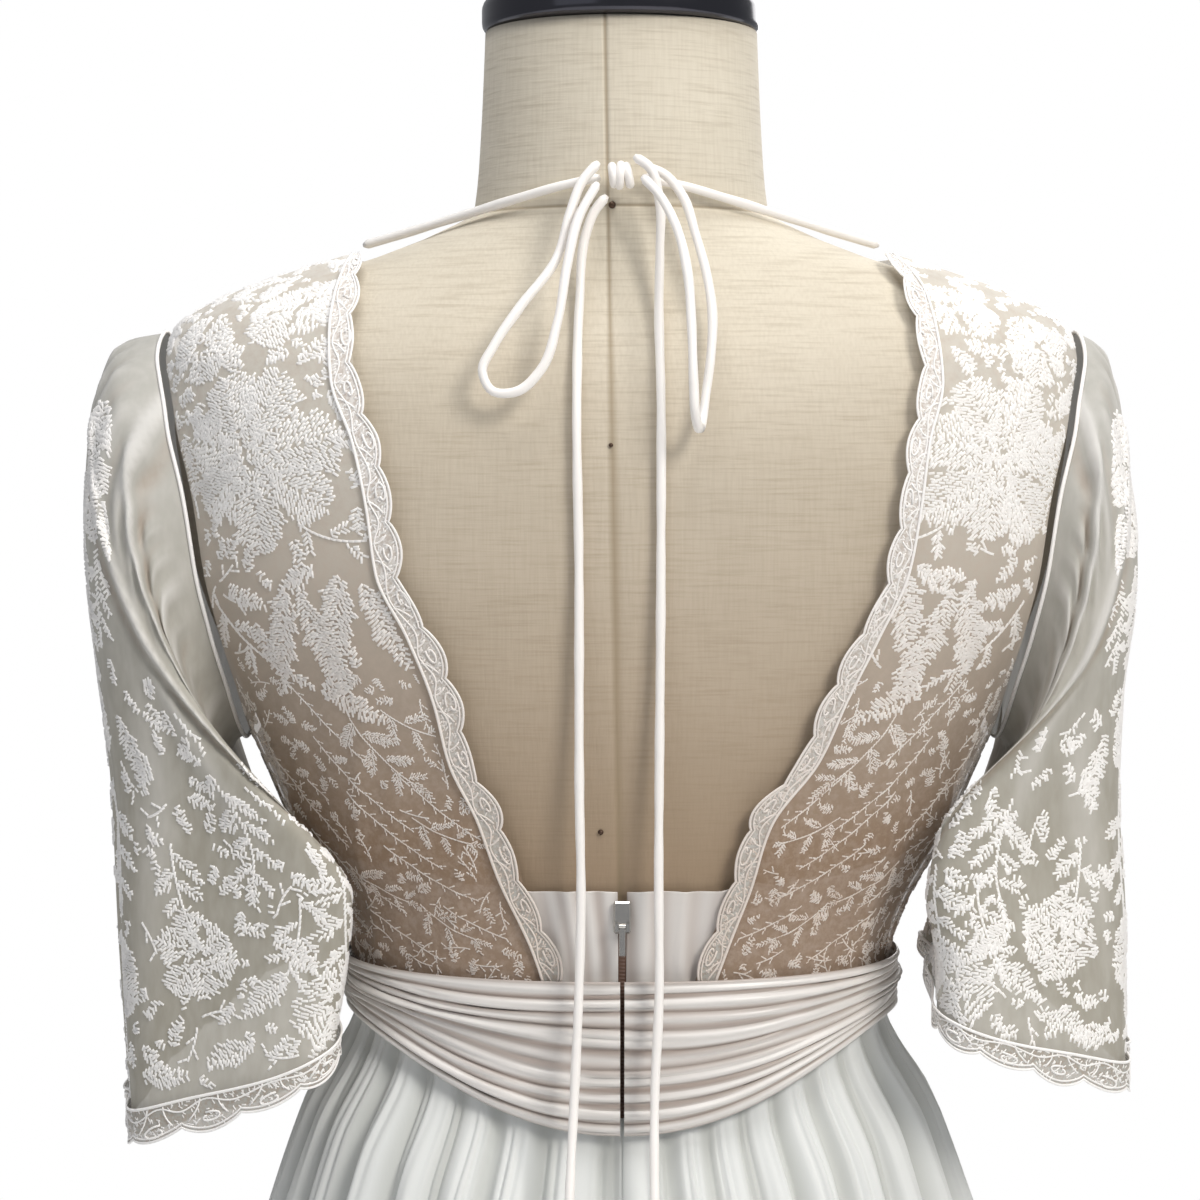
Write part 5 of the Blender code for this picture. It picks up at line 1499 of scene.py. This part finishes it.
class Ground:
    """One cloth to embroider: its surface, and a count of where stitches already stand, so that no
    motif covers another."""

    def __init__(self, surface, out, reach, proud, inside, size, mirror, rng):
        self.cloth = {"surface": surface, "out": out, "proud": proud, "range": reach, "inside": inside}
        self.spread = 0.16 if reach[0] > 1 else 0.075
        self.rise = 1.0 if reach[0] > 1 else 0.34
        self.taken = np.zeros((1200, 700), bool)
        self.size = size
        self.mirror = mirror
        self.rng = rng
        self.made = []

    def cells(self, turn, along):
        """The cell of each place: its angle and its height, each in metres, in steps of one cell."""
        column = np.clip(((turn + np.pi) * self.spread / CELL).astype(int), 1, 1198)
        climb = along * self.rise - self.cloth["range"][0] * self.rise
        row = np.clip((climb / CELL).astype(int) + 2, 1, 698)
        return column, row

    def free(self, turn, along, reach):
        """Whether no stitch stands within a reach of cells about a place."""
        column, row = self.cells(np.array([turn]), np.array([along]))
        low = max(0, row[0] - reach)
        return not self.taken[max(0, column[0] - reach):column[0] + reach + 1, low:row[0] + reach + 1].any()

    def keep(self, turn, along, rows, share):
        """Keep a motif's stitches where none stand yet, and note where they are."""
        column, row = self.cells(turn, along)
        open_here = ~self.taken[column, row]
        self.taken[column[open_here], row[open_here]] = True
        facing = np.pi - rows[:, 2] if self.mirror else rows[:, 2]
        self.made.append(np.stack([turn, along, facing, rows[:, 3], share + 0 * turn], 1)[open_here])

    def motif(self, kind, heading, numbers, fine):
        """A motif's stitches about its own place, mirrored where wanted, and their share of full size."""
        share = FINE_SHARE if fine else 1.0
        size = tuple(value * share for value in self.size[:2])
        rows = MOTIFS[kind](heading, *numbers, size, self.rng)
        if self.mirror:
            rows[:, 0] *= -1
        return rows, share

    def lay(self, kind, turn, along, heading, numbers, fine=False):
        """Lay one large motif, measured along the cloth."""
        rows, share = self.motif(kind, heading, numbers, fine)
        angle, found, within = laid(self.cloth, (turn, along), rows[:, 0], rows[:, 1])
        self.keep(angle[within], found[within], rows[within], share)

    def fill(self, count, reach, spots, kinds, fine=False):
        """Scatter small motifs at seeded places wherever a square about them is still free."""
        turn, along = spots(self.rng, count).T
        surface = self.cloth["surface"]
        wide = np.linalg.norm(surface(turn + 0.01, along) - surface(turn - 0.01, along), axis=-1) / 0.02
        tall = np.linalg.norm(surface(turn, along + 0.002) - surface(turn, along - 0.002), axis=-1) / 0.004
        for i in np.flatnonzero(self.cloth["inside"](turn, along)):
            if self.free(turn[i], along[i], reach):
                kind, numbers = kinds[self.rng.integers(len(kinds))]
                rows, share = self.motif(kind, self.rng.uniform(0, TURN), numbers, fine)
                self.keep(turn[i] + rows[:, 0] / wide[i], along[i] + rows[:, 1] / tall[i], rows, share)

    def mesh(self, name):
        """The stitches as one mesh, each with a light or dark tone of its own."""
        made = np.concatenate(self.made)
        turn, along, facing, length, share = made[self.cloth["inside"](made[:, 0], made[:, 1])].T
        points, faces = stitches(self.cloth, turn, along, facing, length, self.size[2] * share,
                                 self.size[3] * share)
        mesh = mesh_of(name, points, *faces)
        tone = np.clip(self.rng.normal(0.78, 0.2, len(turn)), 0, 1)
        return mark(mesh, "tone", np.repeat(tone, len(STITCH)))


def panel_inside(side, edge):
    """A test of which places lie on a bodice panel, clear of its seams and of its trim."""
    front = edge == "front"

    def inside(turn, height):
        reach = -turn if front else turn
        reach = reach if side > 0 else np.pi - reach
        radius = form("half_width", height)
        low = armhole_turn(height) + 3.5 * MM / radius
        high = edge_turn(edge, height, LACE_LIFT) - (EDGING + 1.2 * MM) / radius
        high = np.minimum(high, BACK - 3 * MM / radius) if front else high
        within = (height > BODICE_LOW + 4 * MM) & (height < BODICE_HIGH - 3 * MM)
        return (reach > low) & (reach < high) & within

    return inside


class DRESS_OT_embroidery(bpy.types.Operator):
    """Corded flowers, leaves and twigs stitched on the net and on the sleeves"""

    bl_idname = "dress.embroidery"
    bl_label = "Embroidery"

    def execute(self, context):
        sizes = context.scene.dress_sizes
        size = (sizes.pitch, sizes.stitch, sizes.stitch_width, sizes.stitch_height)
        thread = kept("corded_lace_thread", thread_finish)
        for seed, (word, (side, edge)) in enumerate(PANELS.items()):
            front = edge == "front"
            mirror = (side > 0) == front
            ground = Ground(bodice_surface, 1, (BODICE_LOW, BODICE_HIGH), -0.1 * MM, panel_inside(side, edge),
                            size, mirror, np.random.default_rng(31 + seed))
            for table, fine in ((FRONT_BOLD if front else BACK_BOLD, False),
                                (FRONT_FINE if front else BACK_FINE, True)):
                for kind, reach, height, heading, *numbers in table:
                    reach = reach + ground.rng.normal(0, 1.2)
                    turn = float(side_turn(reach * MM, height * MM, LACE_LIFT))
                    turn = turn if side > 0 else np.pi - turn
                    ground.lay(kind, -turn if front else turn, height * MM, heading, numbers, fine)
            self.fill_panel(ground, side, edge)
            place(f"lace_{word}", ground.mesh("lace"), thread)
        thread = kept("corded_sleeve_thread", sleeve_thread_finish)
        hem = SLEEVE_END - (EDGING + 2 * MM) / SLEEVE_LENGTH
        for side, word in ((1, "left"), (-1, "right")):
            ground = Ground(SLEEVE_SURFACES[side], -side, (0.0, SLEEVE_END), -0.1 * MM,
                            lambda turn, along: (along > 0.08) & (along < hem),
                            size, False, np.random.default_rng(47 + side))
            for half in (1, -1):
                for kind, turn, along, heading, *numbers in SLEEVE_BOLD:
                    turn = half * turn + ground.rng.normal(0, 0.04)
                    ground.lay(kind, turn, along, heading if half > 0 else np.pi - heading, numbers)
            for low, reach, kinds in (
                    (0.42, 3, (("leaf", (13, 6)), ("leaf", (10, 5)), ("twig", (14, 0.5)))),
                    (0.60, 2, (("leaf", (8, 4)), ("leaf", (6, 4))))):
                ground.fill(900, reach, self.sleeve_spots(low), kinds)
            place(f"lace_sleeve_{word}", ground.mesh("lace"), thread)
        return {"FINISHED"}

    def sleeve_spots(self, low):
        """Seeded places round a sleeve from a share of its length down, closer towards its hem."""
        def found(rng, count):
            turn = rng.uniform(-np.pi, np.pi, count)
            return np.stack([turn, low + (0.95 - low) * rng.uniform(0, 1, count) ** 0.8], 1)
        return found

    def fill_panel(self, ground, side, edge):
        """Small leaves between the large motifs, and fine leaves and twigs low down."""
        front = edge == "front"

        def spots(low, high):
            def found(rng, count):
                turn = rng.uniform(0.05, BACK - 0.02, count)
                turn = turn if side > 0 else np.pi - turn
                return np.stack([-turn if front else turn, rng.uniform(low, high, count)], 1)
            return found

        for count, reach, low, high, fine, kinds in (
                (900, 3, 1.335, BODICE_HIGH, False, (("leaf", (15, 7)), ("leaf", (12, 6)), ("leaf", (9, 5)))),
                (2200, 2, 1.345, BODICE_HIGH, False, (("leaf", (7, 4)), ("leaf", (5, 3)))),
                (500, 3, 1.27, 1.345, False, (("leaf", (12, 6)), ("leaf", (9, 4)), ("twig", (12, 0.4)))),
                (1100, 2, BODICE_LOW, 1.27, True, (("twig", (12, 0.5)), ("leaf", (8, 4)), ("leaf", (6, 3))))):
            ground.fill(count, reach, spots(low, high), kinds, fine)


class DRESS_OT_edgings(bpy.types.Operator):
    """Scalloped corded edgings of the back, the front V and the sleeve hems"""

    bl_idname = "dress.edgings"
    bl_label = "Edgings"

    def execute(self, context):
        cord = context.scene.dress_sizes.trim_cord
        net = kept("filled_edging_net", trim_net_finish)
        thread = kept("corded_lace_thread", thread_finish)
        for word, (side, edge) in PANELS.items():
            count, at = neck_trim(side, edge)
            trim_pieces(word, count, at, False, f"edging_{word}", (thread, net), cord)
        thread = kept("corded_sleeve_thread", sleeve_thread_finish)
        for side, word in ((1, "left"), (-1, "right")):
            count, at = hem_trim(side)
            trim_pieces(f"sleeve_{word}", count, at, True, f"edging_sleeve_{word}", (thread, net), cord)
        return {"FINISHED"}


class DRESS_OT_zip(bpy.types.Operator):
    """Centre-back zip: coil and tape in the slit, slider, and the pull tab that swings on its pin"""

    bl_idname = "dress.zip"
    bl_label = "Zip"

    def execute(self, context):
        colours = context.scene.dress_colours
        nickel = metal_finish("nickel_plate", colours.nickel, 0.22)
        for node in ("zip_slider", "zip_pull"):
            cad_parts[node].data.materials.clear()
            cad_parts[node].data.materials.append(nickel)
        tape, tree, shader = finish_of("nylon_zip_tape", Base_Color=linear("#74594B"), Roughness=0.8)
        bumped(tree, shader, pattern(tree, (900, 900, 900), 1.0), 0.4, 0.2 * MM)
        height = np.linspace(1.084, ZIP_HEIGHT - 4 * MM, 60)
        turn = BACK + np.linspace(-1, 1, 5)[None, :] * 0.022
        points = on_form(turn + 0 * height[:, None], height[:, None] + 0 * turn, 1.5 * MM)
        mesh = mesh_of("tape", points, grid_faces(*points.shape[:2]))
        place("zip_tape", mesh, tape, wall=0.4 * MM)
        teeth = np.arange(1.086, ZIP_HEIGHT - 8 * MM, 1.5 * MM)
        ground = {"surface": form_surface, "out": 1, "proud": 1.8 * MM}
        points, faces = stitches(ground, BACK + 0 * teeth, teeth, 0 * teeth, 2.6 * MM, 0.9 * MM, 0.7 * MM)
        coil = finish_of("nylon_coil", Base_Color=linear("#7B6154"), Roughness=0.35)[0]
        place("zip_coil", mesh_of("coil", points, *faces), coil)
        return {"FINISHED"}


class DRESS_OT_ties(bpy.types.Operator):
    """Rouleau ties from the shoulders, the bow's two loops, two tails and the wrapped knot"""

    bl_idname = "dress.ties"
    bl_label = "Ties and bow"

    def execute(self, context):
        diameter = context.scene.dress_sizes.tie
        rouleau = kept("satin_rouleau", rouleau_finish)
        knot = self.knot(diameter, rouleau)
        for name, route in TIES.items():
            points = np.array(route)
            shoulder = name in ("tie_left", "tie_right")
            points = route_curve(points[::-1] if shoulder else points, 2.0 * MM)
            made = self.rope(name, points, diameter, rouleau)
        return {"FINISHED"}

    def rope(self, name, points, diameter, rouleau):
        """A tube along a route, whose girth swells a little as it goes, and which closes in a small
        dome at each end."""
        run = np.arange(len(points)) * 2.0 * MM
        swell = 1 + 0.045 * np.sin(run / (9 * MM)) + 0.03 * np.sin(run / (3.7 * MM) + 1.0)
        tip = np.minimum(np.arange(len(points)), np.arange(len(points))[::-1])
        girth = swell * np.where(tip == 0, 0.55, 1.0)
        profile = ring_profile(diameter / 2, 14)[None] * girth[:, None, None]
        bent = np.tile((0.25, 1.0, 0.15), (len(points), 1))
        tube_points, faces = tube(points, bent, profile)
        mesh = mesh_of(name, tube_points, *faces)
        return place(f"{name}_rouleau", mesh, rouleau, [name])

    def knot(self, diameter, rouleau):
        """The knot: three turns of cord round the crossing, each an oval ring that leans a little."""
        angle = np.arange(28) * TURN / 28
        shapes = []
        for shift, lean, reach in ((-2.9, 0.25, 3.1), (0.3, -0.10, 3.6), (3.1, 0.15, 3.0)):
            x = KNOT_MIDDLE[0] + shift * MM + lean * 3 * MM * np.sin(angle)
            y = KNOT_MIDDLE[1] + reach * MM * np.cos(angle)
            z = KNOT_MIDDLE[2] + (reach + 0.5) * MM * np.sin(angle)
            shapes.append(tube(np.stack([x, y, z], 1), (1.0, 0.0, 0.0), ring_profile(diameter * 0.46, 12),
                               closed=True))
        points, faces = joined(shapes)
        return place("bow_knot_wraps", mesh_of("knot", points, *faces), rouleau, ["bow_knot"])


# Camera: where it stands, how far it tips down, and its lens for the photo's frame
CAMERA_AT = (0.0089, 1.10, 1.364)
FRAME_PIXELS = 1200
FOCAL_PIXELS = 2585
CAMERA_TIP = np.arctan(165 / FOCAL_PIXELS)
SENSOR = 36.0
FLOOR_HALF = 2.4
LIGHTS_AIM = (0.0, 0.0, 1.2)
# Lights: name, place, size in metres, watts and tint
LIGHTS = (
    ("key", (-1.35, 1.75, 2.8), 0.9, 45, "#FFFBF5"),
    ("top", (0.1, 0.45, 3.0), 1.0, 18, "#FFFFFF"),
    ("fill", (1.7, 2.2, 1.9), 1.8, 4, "#F6F8FF"),
    ("front", (-1.2, -2.6, 2.4), 2.0, 44, "#FFFDFA"),
)


class DRESS_OT_stage(bpy.types.Operator):
    """Plain pale floor, a white world behind, studio lights, and the camera at the photo's angle"""

    bl_idname = "dress.stage"
    bl_label = "Stage"

    def execute(self, context):
        scene = context.scene
        camera = bpy.data.cameras.new("camera")
        camera.sensor_width = SENSOR
        camera.lens = FOCAL_PIXELS / FRAME_PIXELS * SENSOR
        made = bpy.data.objects.new("camera", camera)
        made.location = CAMERA_AT
        made.rotation_euler = (BACK - CAMERA_TIP, 0, np.pi)
        scene.collection.objects.link(made)
        scene.camera = made
        pale, tree, shader = finish_of("painted_plaster", Base_Color=linear("#F4F3F1"), Roughness=0.9,
                                         Emission_Color=linear("#FFFFFF"), Emission_Strength=0.35)
        bumped(tree, shader, pattern(tree, (40, 40, 40), 3.0), 0.05, 1 * MM)
        half = FLOOR_HALF
        corners = np.array(((-half, -half, 0), (half, -half, 0), (half, half, 0), (-half, half, 0)))
        floor = bpy.data.objects.new("floor", mesh_of("floor", corners, np.array(((0, 1, 2, 3),))))
        floor.data.materials.append(pale)
        scene.collection.objects.link(floor)
        world = bpy.data.worlds.new("studio")
        world.use_nodes = True
        tree = world.node_tree
        room = tree.nodes["Background"]
        room.inputs["Color"].default_value = linear("#F4F6FA")
        room.inputs["Strength"].default_value = 0.36
        paper = add(tree, "ShaderNodeBackground", Color=linear("#FFFFFF"), Strength=1.0)
        seen = add(tree, "ShaderNodeLightPath").outputs["Is Camera Ray"]
        both = add(tree, "ShaderNodeMixShader", i0=seen, i1=room.outputs[0], i2=paper.outputs[0])
        tree.links.new(both.outputs[0], tree.nodes["World Output"].inputs["Surface"])
        scene.world = world
        for name, place_at, size, power, tint in LIGHTS:
            light = bpy.data.lights.new(name, "AREA")
            light.size = size
            light.energy = power
            light.color = linear(tint)[:3]
            lamp = bpy.data.objects.new(name, light)
            lamp.location = place_at
            aim = np.array(LIGHTS_AIM) - np.array(place_at)
            yaw = np.arctan2(aim[1], aim[0]) - BACK
            tip = np.arctan2(np.hypot(aim[0], aim[1]), -aim[2])
            lamp.rotation_euler = (tip, 0, yaw)
            scene.collection.objects.link(lamp)
        scene.view_settings.view_transform = "Standard"
        return {"FINISHED"}


class DRESS_PT_panel(bpy.types.Panel):
    """Lists the dress's pieces"""

    bl_idname = "DRESS_PT_panel"
    bl_label = "Wedding dress"
    bl_space_type = "VIEW_3D"
    bl_region_type = "UI"
    bl_category = "Dress"

    def draw(self, context):
        for operator in OPERATORS:
            self.layout.operator(operator.bl_idname)
        for group in (context.scene.dress_sizes, context.scene.dress_colours):
            for name in group.__annotations__:
                self.layout.prop(group, name)


OPERATORS = (
    DRESS_OT_stage,
    DRESS_OT_ties,
    DRESS_OT_form,
    DRESS_OT_under_bodice,
    DRESS_OT_waistband,
    DRESS_OT_skirt,
    DRESS_OT_bodice,
    DRESS_OT_sleeves,
    DRESS_OT_embroidery,
    DRESS_OT_edgings,
    DRESS_OT_zip,
)
CLASSES = (DressColours, DressSizes) + OPERATORS + (DRESS_PT_panel,)


def register():
    """Register every class, and hang the sizes and colours on the scene."""
    for made in CLASSES:
        bpy.utils.register_class(made)
    bpy.types.Scene.dress_colours = bpy.props.PointerProperty(type=DressColours)
    bpy.types.Scene.dress_sizes = bpy.props.PointerProperty(type=DressSizes)


def unregister():
    """Take the classes and the scene's sizes and colours away again."""
    del bpy.types.Scene.dress_sizes
    del bpy.types.Scene.dress_colours
    for made in reversed(CLASSES):
        bpy.utils.unregister_class(made)


def main():
    """Build the stage and every piece."""
    register()
    for operator in OPERATORS:
        group, name = operator.bl_idname.split(".")
        getattr(getattr(bpy.ops, group), name)()


if __name__ == "__main__":
    main()
